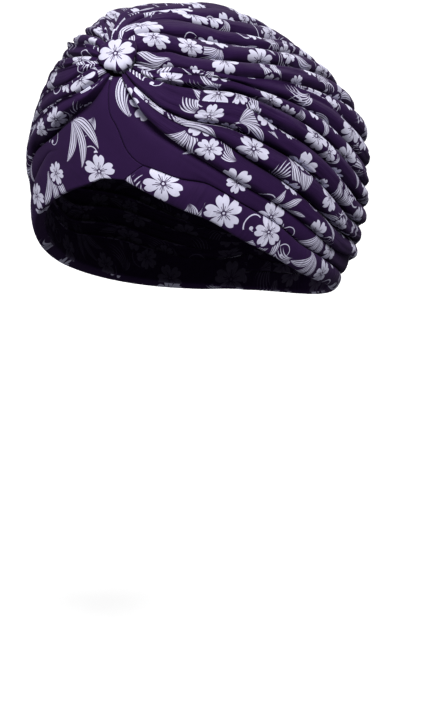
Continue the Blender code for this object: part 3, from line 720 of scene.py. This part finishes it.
def finished_piece(name, work, materials, nodes):
    """Object of a finished mesh that rides on the cap's body in the place of its nodes."""
    mesh = bpy.data.meshes.new(name)
    work.to_mesh(mesh)
    work.free()
    piece = bpy.data.objects.new(name, mesh)
    for material in materials:
        mesh.materials.append(bpy.data.materials[material])
    bpy.context.scene.collection.objects.link(piece)
    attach(piece, "root")
    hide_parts(*nodes)
    return piece


def rim_step(work, face):
    """Print offset of each corner, so that the print goes round a cut edge without streaks."""
    deep = work.verts.layers.int["deep"]
    across_rim = 0 < sum(vert[deep] for vert in face.verts) < len(face.verts)
    return [RIM_PRINT_STEP * vert[deep] * across_rim for vert in face.verts]


def lay_panel_print(work, place, cols, coordinates):
    """Print map of a panel from the coordinates of its grid."""
    layer = work.loops.layers.uv.new("print")
    for face in work.faces:
        for loop, step in zip(face.loops, rim_step(work, face)):
            index = loop.vert[place]
            loop[layer].uv = (coordinates[index // cols, index % cols] + step) / PRINT_UNIT


def lay_crown_print(work, place, cols, around, prints):
    """Print map of the crown, laid along each roll by itself."""
    layer = work.loops.layers.uv.new("print")
    for face in work.faces:
        rows = [loop.vert[place] // cols for loop in face.loops]
        wraps = max(rows) - min(rows) > around
        roll = min((max(rows) if wraps else min(rows)) // around, len(prints) - 1)
        for loop, row, step in zip(face.loops, rows, rim_step(work, face)):
            line = min(max(row - roll * around, 0), around)
            loop[layer].uv = (prints[roll][line, loop.vert[place] % cols] + step) / PRINT_UNIT


class Wire:
    """A value in a node tree. Arithmetic with it adds a Math node for each step."""

    def __init__(self, socket):
        self.socket = socket

    def math(self, operation, *values):
        """The operation on the values, each a wire or a number."""
        node = self.socket.id_data.nodes.new("ShaderNodeMath")
        node.operation = operation
        for socket, value in zip(node.inputs, values):
            feed(value, socket)
        return Wire(node.outputs[0])

    def of(self, operation, *others):
        """The operation on this value and the others."""
        return self.math(operation, self, *others)

    def clamped(self):
        """The last step held between 0 and 1."""
        self.socket.node.use_clamp = True
        return self

    def __add__(self, other):
        return self.of("ADD", other)

    def __radd__(self, other):
        return self.math("ADD", other, self)

    def __sub__(self, other):
        return self.of("SUBTRACT", other)

    def __rsub__(self, other):
        return self.math("SUBTRACT", other, self)

    def __mul__(self, other):
        return self.of("MULTIPLY", other)

    def __truediv__(self, other):
        return self.of("DIVIDE", other)

    def __mod__(self, other):
        return self.of("FLOORED_MODULO", other)

    def __pow__(self, other):
        return self.of("POWER", other)

    def __abs__(self):
        return self.of("ABSOLUTE")


def feed(value, socket):
    """Link a wire to a socket, or set the socket to a number or colour."""
    if isinstance(value, Wire):
        socket.id_data.links.new(value.socket, socket)
    else:
        socket.default_value = value


def new_group(name, inputs, outputs):
    """Shader node group with the wires of its inputs and the sockets of its outputs."""
    group = bpy.data.node_groups.new(name, "ShaderNodeTree")
    for title, default in inputs.items():
        socket = group.interface.new_socket(title, in_out="INPUT", socket_type="NodeSocketFloat")
        socket.default_value = default
    for title in outputs:
        group.interface.new_socket(title, in_out="OUTPUT", socket_type="NodeSocketFloat")
    entry = group.nodes.new("NodeGroupInput")
    leave = group.nodes.new("NodeGroupOutput")
    return group, {title: Wire(entry.outputs[title]) for title in inputs}, leave.inputs


def fill(node, **values):
    """Feed inputs of a node by their titles, with _ for a space."""
    for title, value in values.items():
        feed(value, node.inputs[title.replace("_", " ")])
    return node


def place_group(tree, name, **values):
    """A node group placed in a tree, and the wires of its outputs."""
    node = tree.nodes.new("ShaderNodeGroup")
    node.node_tree = bpy.data.node_groups[name]
    fill(node, **values)
    return {socket.name: Wire(socket) for socket in node.outputs}


def joined_vector(tree, *parts):
    """A vector from up to three values."""
    node = tree.nodes.new("ShaderNodeCombineXYZ")
    for part, socket in zip(parts, node.inputs):
        feed(part, socket)
    return Wire(node.outputs[0])


def soft_noise(tree, vector, scale, detail):
    """Smooth noise at a vector."""
    node = tree.nodes.new("ShaderNodeTexNoise")
    return Wire(fill(node, Vector=vector, Scale=scale, Detail=detail).outputs["Fac"])


def mixed_colour(tree, factor, low, high):
    """Colour between two others, each a wire or a colour."""
    node = tree.nodes.new("ShaderNodeMix")
    node.data_type = "RGBA"
    return Wire(fill(node, Factor=factor, A=low, B=high).outputs["Result"])


def split_apart(tree, kind, value):
    """The three parts of a vector or a colour."""
    node = tree.nodes.new(kind)
    feed(value, node.inputs[0])
    return [Wire(socket) for socket in node.outputs]


def scatter_group():
    """Cells of a print: place within the nearest cell, turned at random, and a random value."""
    group, inside, out = new_group(
        "print_cells", {"Across": 0.0, "Along": 0.0, "Cell": 30.0, "Drift": 4.0, "Seed": 0.0},
        ("X", "Y", "Chance"))
    cell, drift = inside["Cell"], inside["Drift"]
    row = inside["Along"] / cell
    row_number = row.of("FLOOR")
    column = inside["Across"] / cell + row_number % 2.0 * 0.5
    column_number = column.of("FLOOR")
    chance = group.nodes.new("ShaderNodeTexWhiteNoise")
    chance.noise_dimensions = "3D"
    feed(joined_vector(group, column_number, row_number, inside["Seed"]), chance.inputs["Vector"])
    parts = split_apart(group, "ShaderNodeSeparateColor", Wire(chance.outputs["Color"]))
    x = (column - column_number - 0.5) * cell - (parts[0] - 0.5) * drift
    y = (row - row_number - 0.5) * cell - (parts[1] - 0.5) * drift
    turn = parts[2] * (2 * math.pi)
    c, s = turn.of("COSINE"), turn.of("SINE")
    feed(x * c - y * s, out["X"])
    feed(x * s + y * c, out["Y"])
    feed(Wire(chance.outputs["Value"]), out["Chance"])


def apart(x, y):
    """Distance of a place from the origin."""
    return (x * x + y * y).of("SQRT")


def edge_mask(inwards, softness):
    """1 where the distance inwards is positive, softened over the given width."""
    return (inwards / softness + 0.5).clamped()


def blossom_group():
    """Five notched petals round a dark eye with dark strokes, and the ground kept clear round it."""
    _, inside, out = new_group(
        "five_petal_blossom", {"X": 0.0, "Y": 0.0, "Size": 7.5}, ("Light", "Ground"))
    x, y = inside["X"], inside["Y"]
    radius = apart(x, y) / inside["Size"]
    half_petal = math.pi / 5
    off = abs((y.of("ARCTAN2", x) % (2 * half_petal) - half_petal) / half_petal)
    side = (1.0 - off ** 3.0).clamped() ** 0.42
    notch = (1.0 - off * 4.5).clamped() * BLOSSOM["notch"]
    petals = edge_mask(side * BLOSSOM["reach"] - notch - radius, 0.035)
    eye = edge_mask(radius - BLOSSOM["eye"], 0.04)
    middle = edge_mask(BLOSSOM["long"] - radius, 0.05) * edge_mask(0.035 - off * radius, 0.03)
    beside = edge_mask(BLOSSOM["short"] - radius, 0.05) * edge_mask(
        0.025 - abs(off - BLOSSOM["beside"]) * radius, 0.03)
    strokes = 1.0 - middle.of("MAXIMUM", beside)
    dot = edge_mask(BLOSSOM["dot"] - radius, 0.03)
    feed((petals * eye * strokes).of("MAXIMUM", dot), out["Light"])
    feed(edge_mask(BLOSSOM["clear"] - radius, 0.05), out["Ground"])


def spray_group():
    """Curved leaves that fan out from one foot, with dark veins where they are broad."""
    _, inside, out = new_group(
        "striped_leaf_spray",
        {"X": 0.0, "Y": 0.0, "Size": 25.0, "Gap": 0.56, "Leaves": 3.0, "Belly": 0.11,
         "Sweep": 0.9, "Veins": 1.0},
        ("Light", "Ground"))
    leaves, gap, y = inside["Leaves"], inside["Gap"], inside["Y"]
    x = inside["X"] + inside["Size"] * SPRAY["foot"]
    radius = apart(x, y) / inside["Size"]
    turned = (y.of("ARCTAN2", x) + inside["Sweep"] * (radius - 0.5)) / gap + leaves * 0.5
    number = turned.of("FLOOR")
    inner = number.of("GREATER_THAN", -0.5) * number.of("LESS_THAN", leaves - 0.5)
    length = 1.0 - abs(number - leaves * SPRAY["longest"]) * SPRAY["shorter"]
    part = (radius / length).clamped()
    half = (part ** 1.2 * math.pi).of("SINE") ** 0.8 * inside["Belly"]
    width = abs(turned - number - 0.5) * radius * gap
    leaf = edge_mask(half - width - 0.008, 0.012)
    stripe = abs((width / (half + 0.003) * SPRAY["stripes"] + 0.5).of("FRACT") - 0.5)
    veined = 1.0 - inside["Veins"] * (1.0 - edge_mask(stripe - 0.15, 0.10))
    feed(leaf * inner * veined, out["Light"])
    feed(inner * edge_mask(half + SPRAY["clear"] - width, 0.02), out["Ground"])


def curl_group():
    """A thin open spiral that ends inside in a dot."""
    _, inside, out = new_group("dotted_curl", {"X": 0.0, "Y": 0.0, "Size": 6.0}, ("Light",))
    x, y, size = inside["X"], inside["Y"], inside["Size"]
    turn = (y.of("ARCTAN2", x) + math.pi) / (2 * math.pi)
    away = abs(apart(x, y) / size - (turn * CURL["growth"] + CURL["inner"]))
    line = edge_mask(CURL["thin"] + turn * CURL["thicker"] - away, 0.03) * edge_mask(turn - 0.06, 0.02)
    from_dot = apart(x / size - CURL["dot_at"][0], y / size - CURL["dot_at"][1])
    dot = edge_mask(CURL["dot"] - from_dot, 0.03)
    feed(line.of("MAXIMUM", dot), out["Light"])


def flower_print_group():
    """Blossoms, leaf sprays and curls scattered over the cloth, the first on top."""
    group, inside, out = new_group(
        "flowered_print", {"Across": 0.0, "Along": 0.0, "Plenty": 1.0}, ("Light",))
    total = covered = None
    for row in PRINT_PLAN:
        spot = place_group(group, "print_cells", Across=inside["Across"] + row["shift"],
                           Along=inside["Along"] + 1.7 * row["shift"], Cell=row["cell"],
                           Drift=row["drift"], Seed=row["seed"])
        size = (0.84 + spot["Chance"] * 0.38) * row["size"]
        drawn = place_group(group, row["motif"], X=spot["X"], Y=spot["Y"], Size=size, **row["form"])
        there = spot["Chance"].of("LESS_THAN", inside["Plenty"] * row["likely"])
        light = drawn["Light"] * there
        total = light if total is None else total.of("MAXIMUM", light * (1.0 - covered))
        if "Ground" in drawn:
            ground = drawn["Ground"] * there
            covered = ground if covered is None else covered.of("MAXIMUM", ground)
    feed(total, out["Light"])


def jersey_group():
    """Height of the fine knitted ribs and of the slanted loops in them."""
    _, inside, out = new_group("jersey_knit", {"Across": 0.0, "Along": 0.0}, ("Height",))
    slant = abs((inside["Across"] * (math.pi / RIBS["pitch"])).of("SINE")) * LOOPS["slant"]
    rib = (inside["Across"] * (2 * math.pi / RIBS["pitch"])).of("SINE")
    loop = ((inside["Along"] + slant) * (2 * math.pi / LOOPS["pitch"])).of("SINE")
    feed(rib * RIBS["height"] + loop * LOOPS["height"] + 0.5, out["Height"])


def drag_group():
    """Height of the soft lines that the gathers pull in the cloth, strong in some places only."""
    group, inside, out = new_group("drag_lines", {"Across": 0.0, "Along": 0.0}, ("Height",))
    lines, places = (
        soft_noise(group, joined_vector(group, inside["Across"] * row["across"],
                                        inside["Along"] * row["along"]), 1.0, 2.0)
        for row in (DRAG_LINES, DRAG_PLACES))
    strong = ((places - DRAG_PLACES["from"]) * DRAG_PLACES["gain"]).clamped()
    feed(lines * strong, out["Height"])


def add_bump(tree, height, strength, depth, **under):
    """Bumped normal, over another one where given."""
    node = tree.nodes.new("ShaderNodeBump")
    return Wire(fill(node, Height=height, Strength=strength, Distance=depth, **under).outputs[0])


def shaded(colour, share):
    """A colour made lighter or darker."""
    return (*[part * share for part in colour[:3]], 1)


def cloth_material(name, look, strength=1.0, single_blossom=False, plenty=1.0, drag=1.0):
    """Printed jersey. Strength below 1 is the duller back of the cloth."""
    material = bpy.data.materials.new(name)
    material.use_nodes = True
    tree = material.node_tree
    uv = tree.nodes.new("ShaderNodeUVMap")
    uv.uv_map = "print"
    cloth_map = Wire(uv.outputs[0])
    parts = split_apart(tree, "ShaderNodeSeparateXYZ", cloth_map)
    across, lengthwise = parts[0] * PRINT_UNIT, parts[1] * PRINT_UNIT
    if single_blossom:
        printed = place_group(tree, "five_petal_blossom", X=across - 0.6, Y=lengthwise + 1.6, Size=9.3)
    else:
        printed = place_group(tree, "flowered_print", Across=across, Along=lengthwise, Plenty=plenty)
    uneven = soft_noise(tree, cloth_map, 9.0, 4.0)
    dye = mixed_colour(tree, uneven, shaded(look.ground, 0.82), shaded(look.ground, 1.18))
    ink = mixed_colour(tree, uneven, shaded(look.motif, 0.84), shaded(look.motif, 1.0))
    knit = place_group(tree, "jersey_knit", Across=across, Along=lengthwise)["Height"]
    pulled = place_group(tree, "drag_lines", Across=across, Along=lengthwise)["Height"]
    knitted = add_bump(tree, knit, 0.35, KNIT_DEPTH)
    fill(tree.nodes["Principled BSDF"],
         Base_Color=mixed_colour(tree, printed["Light"] * strength, dye, ink),
         Normal=add_bump(tree, pulled, 1.0, DRAG_DEPTH * drag, Normal=knitted),
         Roughness=0.78, Specular_IOR_Level=0.14,
         Sheen_Weight=look.sheen, Sheen_Roughness=0.45, Sheen_Tint=(0.72, 0.62, 0.85, 1))


class CapCloth(bpy.types.PropertyGroup):
    """Colours and scale of the printed jersey."""
    ground: bpy.props.FloatVectorProperty(
        name="Ground", description="Dyed colour of the cloth", subtype="COLOR", size=4,
        min=0, max=1, default=(0.030, 0.011, 0.055, 1))
    motif: bpy.props.FloatVectorProperty(
        name="Motif", description="Colour of the printed blossoms and leaves", subtype="COLOR",
        size=4, min=0, max=1, default=(0.61, 0.60, 0.73, 1))
    sheen: bpy.props.FloatProperty(
        name="Sheen", description="Soft shine of the jersey", default=0.04, min=0, max=1)
    back_print: bpy.props.FloatProperty(
        name="Print on the back", description="How far the print shows inside the cap",
        default=0.14, min=0, max=1, subtype="FACTOR")
    print_pitch: bpy.props.FloatProperty(
        name="Cloth per roll", description="Cloth gathered into each roll, in millimetres",
        default=23.0, min=10, max=60)
    roll_steps: bpy.props.IntProperty(
        name="Steps per roll", description="Faces across each roll", default=16, min=4, max=24)


class CapStage(bpy.types.PropertyGroup):
    """Camera, floor and lights."""
    azimuth: bpy.props.FloatProperty(
        name="Azimuth", description="Camera's turn from the front, towards the wearer's left",
        subtype="ANGLE", default=math.radians(22.4))
    elevation: bpy.props.FloatProperty(
        name="Elevation", description="Camera's height angle", subtype="ANGLE",
        default=math.radians(6.7))
    distance: bpy.props.FloatProperty(
        name="Distance", description="Camera to the middle of the cap", subtype="DISTANCE",
        unit="LENGTH", default=1.4, min=0.3)
    floor_depth: bpy.props.FloatProperty(
        name="Floor depth", description="Floor below the middle of the cap", subtype="DISTANCE",
        unit="LENGTH", default=0.34, min=0.1)
    key_strength: bpy.props.FloatProperty(
        name="Sky light", description="Strength of the soft light from above", default=3.35, min=0)
    front_power: bpy.props.FloatProperty(
        name="Front light", description="Power of the small light in front", unit="POWER",
        default=10.0, min=0)


class CAP_OT_cloth(bpy.types.Operator):
    """Make the printed jersey and its duller back"""
    bl_idname = "cap.cloth"
    bl_label = "Cloth materials"

    def execute(self, context):
        look = context.scene.cap_cloth
        for group in (scatter_group, blossom_group, spray_group, curl_group, flower_print_group,
                      jersey_group, drag_group):
            group()
        cloth_material("gathered_jersey", look, plenty=1.0)
        cloth_material("smooth_jersey", look, plenty=0.62, drag=0.3)
        cloth_material("jersey_back", look, strength=look.back_print)
        cloth_material("knot_jersey", look, single_blossom=True, drag=0.4)
        return {"FINISHED"}


class CAP_OT_crown(bpy.types.Operator):
    """Lay the pleated crown in rolls from the knot to the centre back"""
    bl_idname = "cap.crown"
    bl_label = "Crown"

    def execute(self, context):
        look = context.scene.cap_cloth
        outer, inner, prints = crown_sheets(look.roll_steps, look.print_pitch)
        work, place = laid_grid(outer, inner, joined=True)
        lay_crown_print(work, place, outer.shape[1], look.roll_steps, prints)
        piece = finished_piece("crown_cloth", work, ("gathered_jersey", "jersey_back"),
                               ("crown_left", "crown_right"))
        return {"FINISHED"}


class CAP_OT_panels(bpy.types.Operator):
    """Lay the two yoke panels and the hem band below the crown"""
    bl_idname = "cap.panels"
    bl_label = "Yokes and hem band"

    def execute(self, context):
        alphas = crown_stations()
        for row, (grid, high) in zip(PANELS, (*left_panels(alphas), right_panel(alphas))):
            outer, inner = panel_sheets(grid, high, row["side"])
            work, place = laid_grid(outer, inner)
            coordinates = panel_print(grid, row["side"], row["turn"])
            lay_panel_print(work, place, outer.shape[1], coordinates)
            piece = finished_piece(row["piece"], work, (row["cloth"], "jersey_back"),
                                   (row["node"],))
        return {"FINISHED"}


class CAP_OT_knot(bpy.types.Operator):
    """Make the small loop of cloth that gathers the rolls"""
    bl_idname = "cap.knot"
    bl_label = "Knot"

    def execute(self, context):
        middle = from_knot(0.0, 0.0)
        side = knot_axes()[2]
        upward = np.cross(middle, side)
        upward = -upward if upward[2] < 0 else upward
        base = float(head_radius(middle[None])[0]) - ROLL_HEIGHT - WALL
        work = bmesh.new()
        bmesh.ops.create_grid(
            work, x_segments=KNOT_SIDES, y_segments=len(KNOT_PROFILE) - 1, size=1.0)
        work.verts.ensure_lookup_table()
        layer = work.loops.layers.uv.new("print")
        spread = []
        for index, vert in enumerate(work.verts):
            ring, k = divmod(index, KNOT_SIDES + 1)
            reach, rise = KNOT_PROFILE[ring]
            angle = 2 * math.pi * (k % KNOT_SIDES) / KNOT_SIDES
            pinch, crease = self.gathers(angle, reach)
            across = KNOT_HALF_WIDTH * pinch * math.cos(angle)
            up = KNOT_HALF_HEIGHT * pinch * math.sin(angle)
            spread.append((across, up))
            vert.co = Vector(0.001 * (middle * (base + rise + crease) + side * across + upward * up))
        share = KNOT_PRINT_SCALE / PRINT_UNIT
        for face in work.faces:
            face.smooth = True
            for loop in face.loops:
                x, y = spread[loop.vert.index]
                loop[layer].uv = (x * share, y * share)
        bmesh.ops.remove_doubles(work, verts=work.verts[:], dist=1e-6)
        rims = [edge for edge in work.edges if edge.is_boundary]
        for face in bmesh.ops.edgeloop_fill(work, edges=rims)["faces"]:
            face.smooth = True
            for loop in face.loops:
                place = 1000 * np.array(loop.vert.co)
                loop[layer].uv = (share * float(place @ side), share * float(place @ upward))
        bmesh.ops.recalc_face_normals(work, faces=work.faces[:])
        piece = finished_piece("knot_loop", work, ("knot_jersey",), ("knot",))
        return {"FINISHED"}

    def gathers(self, angle, reach):
        """Reach of the loop with its pinched, gathered outline, and the height of its creases."""
        power = KNOT_SQUARENESS
        squared = (abs(math.cos(angle)) ** power + abs(math.sin(angle)) ** power) ** (-1 / power)
        lobes = KNOT_LOBES["depth"] * math.cos(KNOT_LOBES["count"] * angle + KNOT_LOBES["turn"])
        pleats = sum(self.waves(row, angle) for row in KNOT_PLEATS)
        pinch = reach * squared * (1 - lobes) * (1 + pleats)
        return pinch, self.waves(KNOT_CREASES, angle) * reach * (1 - 0.4 * reach)

    def waves(self, row, angle):
        """Height of a row's waves at an angle round the loop."""
        return row["depth"] * math.sin(row["count"] * angle + row["turn"])


class CAP_OT_stage(bpy.types.Operator):
    """Set the pale floor, the soft lights and the camera"""
    bl_idname = "cap.stage"
    bl_label = "Stage"

    def execute(self, context):
        stage = context.scene.cap_stage
        self.place_floor(context, stage)
        self.place_air(context)
        for row in SUNS:
            sun = bpy.data.lights.new(row["name"], "SUN")
            sun.energy = stage.key_strength * row["share"]
            sun.angle = math.radians(row["angle"])
            self.place_lamp(context, sun, (0, 0, 0), Vector(row["towards"]))
        light = bpy.data.lights.new("front_light", "AREA")
        light.size = FRONT_LIGHT["size"]
        light.energy = stage.front_power
        place = Vector(FRONT_LIGHT["at"])
        self.place_lamp(context, light, place, -place)
        self.place_camera(context, stage)
        return {"FINISHED"}

    def place_floor(self, context, stage):
        """A round floor that looks pale and throws little light back."""
        work = bmesh.new()
        bmesh.ops.create_circle(work, cap_ends=True, segments=96, radius=FLOOR["radius"])
        mesh = bpy.data.meshes.new("floor")
        for vert in work.verts:
            vert.co.z = -stage.floor_depth
        work.to_mesh(mesh)
        work.free()
        floor = bpy.data.objects.new("floor", mesh)
        paper = bpy.data.materials.new("pale_paper")
        paper.use_nodes = True
        tree = paper.node_tree
        seen = Wire(tree.nodes.new("ShaderNodeLightPath").outputs["Is Camera Ray"])
        fill(tree.nodes["Principled BSDF"], Roughness=0.9, Specular_IOR_Level=0.1,
             Base_Color=mixed_colour(tree, seen, FLOOR["thrown"], FLOOR["seen"]))
        mesh.materials.append(paper)
        context.scene.collection.objects.link(floor)

    def place_air(self, context):
        """White surroundings that light the cap only faintly."""
        world = bpy.data.worlds.new("studio")
        world.use_nodes = True
        air = world.node_tree
        seen = Wire(air.nodes.new("ShaderNodeLightPath").outputs["Is Camera Ray"])
        fill(air.nodes["Background"], Color=(1.0, 1.0, 1.0, 1),
             Strength=seen.of("MULTIPLY_ADD", 1.0 - BOUNCE_SKY, BOUNCE_SKY))
        context.scene.view_settings.view_transform = "Standard"
        context.scene.view_settings.look = "Medium High Contrast"
        context.scene.world = world

    def place_lamp(self, context, light, place, towards):
        """A lamp of the light's name that shines in the direction given."""
        lamp = bpy.data.objects.new(light.name, light)
        lamp.location = place
        lamp.rotation_euler = towards.to_track_quat("-Z", "Y").to_euler()
        context.scene.collection.objects.link(lamp)

    def place_camera(self, context, stage):
        """Camera that looks a little below the cap, as the picture is framed."""
        focal = PICTURE["scale"] * PICTURE_DISTANCE
        a, e = stage.azimuth, stage.elevation
        back = Vector((math.sin(a) * math.cos(e), -math.cos(a) * math.cos(e), math.sin(e)))
        right = Vector((math.cos(a), math.sin(a), 0.0))
        tilt = math.atan((PICTURE["height"] / 2 - PICTURE["middle"][1]) / focal)
        pan = math.atan((PICTURE["middle"][0] - PICTURE["width"] / 2) / focal)
        look = Matrix.Rotation(-tilt, 3, right) @ (-back)
        up = Matrix.Rotation(-tilt, 3, right) @ back.cross(right)
        look = Matrix.Rotation(pan, 3, up) @ look
        across = Matrix.Rotation(pan, 3, up) @ right
        camera = bpy.data.cameras.new("camera")
        camera.lens = focal / PICTURE["height"] * SENSOR
        camera.sensor_width = SENSOR
        camera.clip_end = 60.0
        holder = bpy.data.objects.new("camera", camera)
        turned = Matrix((across, up, -look)).transposed()
        holder.matrix_world = Matrix.Translation(back * stage.distance) @ turned.to_4x4()
        context.scene.collection.objects.link(holder)
        context.scene.camera = holder


class CAP_PT_panel(bpy.types.Panel):
    """Settings and steps of the cap"""
    bl_label = "Turban cap"
    bl_idname = "CAP_PT_panel"
    bl_space_type = "VIEW_3D"
    bl_region_type = "UI"
    bl_category = "Turban cap"

    def draw(self, context):
        scene = context.scene
        for group in (scene.cap_cloth, scene.cap_stage):
            box = self.layout.box()
            for name in group.__annotations__:
                box.prop(group, name)
        for step in ("cap.cloth", "cap.crown", "cap.panels", "cap.knot", "cap.stage"):
            self.layout.operator(step)


CLASSES = (CapCloth, CapStage, CAP_OT_cloth, CAP_OT_crown, CAP_OT_panels, CAP_OT_knot,
           CAP_OT_stage, CAP_PT_panel)


def register():
    """Register the classes and their settings on the scene."""
    for cls in CLASSES:
        bpy.utils.register_class(cls)
    bpy.types.Scene.cap_cloth = bpy.props.PointerProperty(type=CapCloth)
    bpy.types.Scene.cap_stage = bpy.props.PointerProperty(type=CapStage)


def unregister():
    """Remove the settings and the classes."""
    del bpy.types.Scene.cap_stage
    del bpy.types.Scene.cap_cloth
    for cls in reversed(CLASSES):
        bpy.utils.unregister_class(cls)


def main():
    """Build the cap and its stage."""
    register()
    bpy.ops.cap.cloth()
    bpy.ops.cap.crown()
    bpy.ops.cap.panels()
    bpy.ops.cap.knot()
    bpy.ops.cap.stage()


if __name__ == "__main__":
    main()
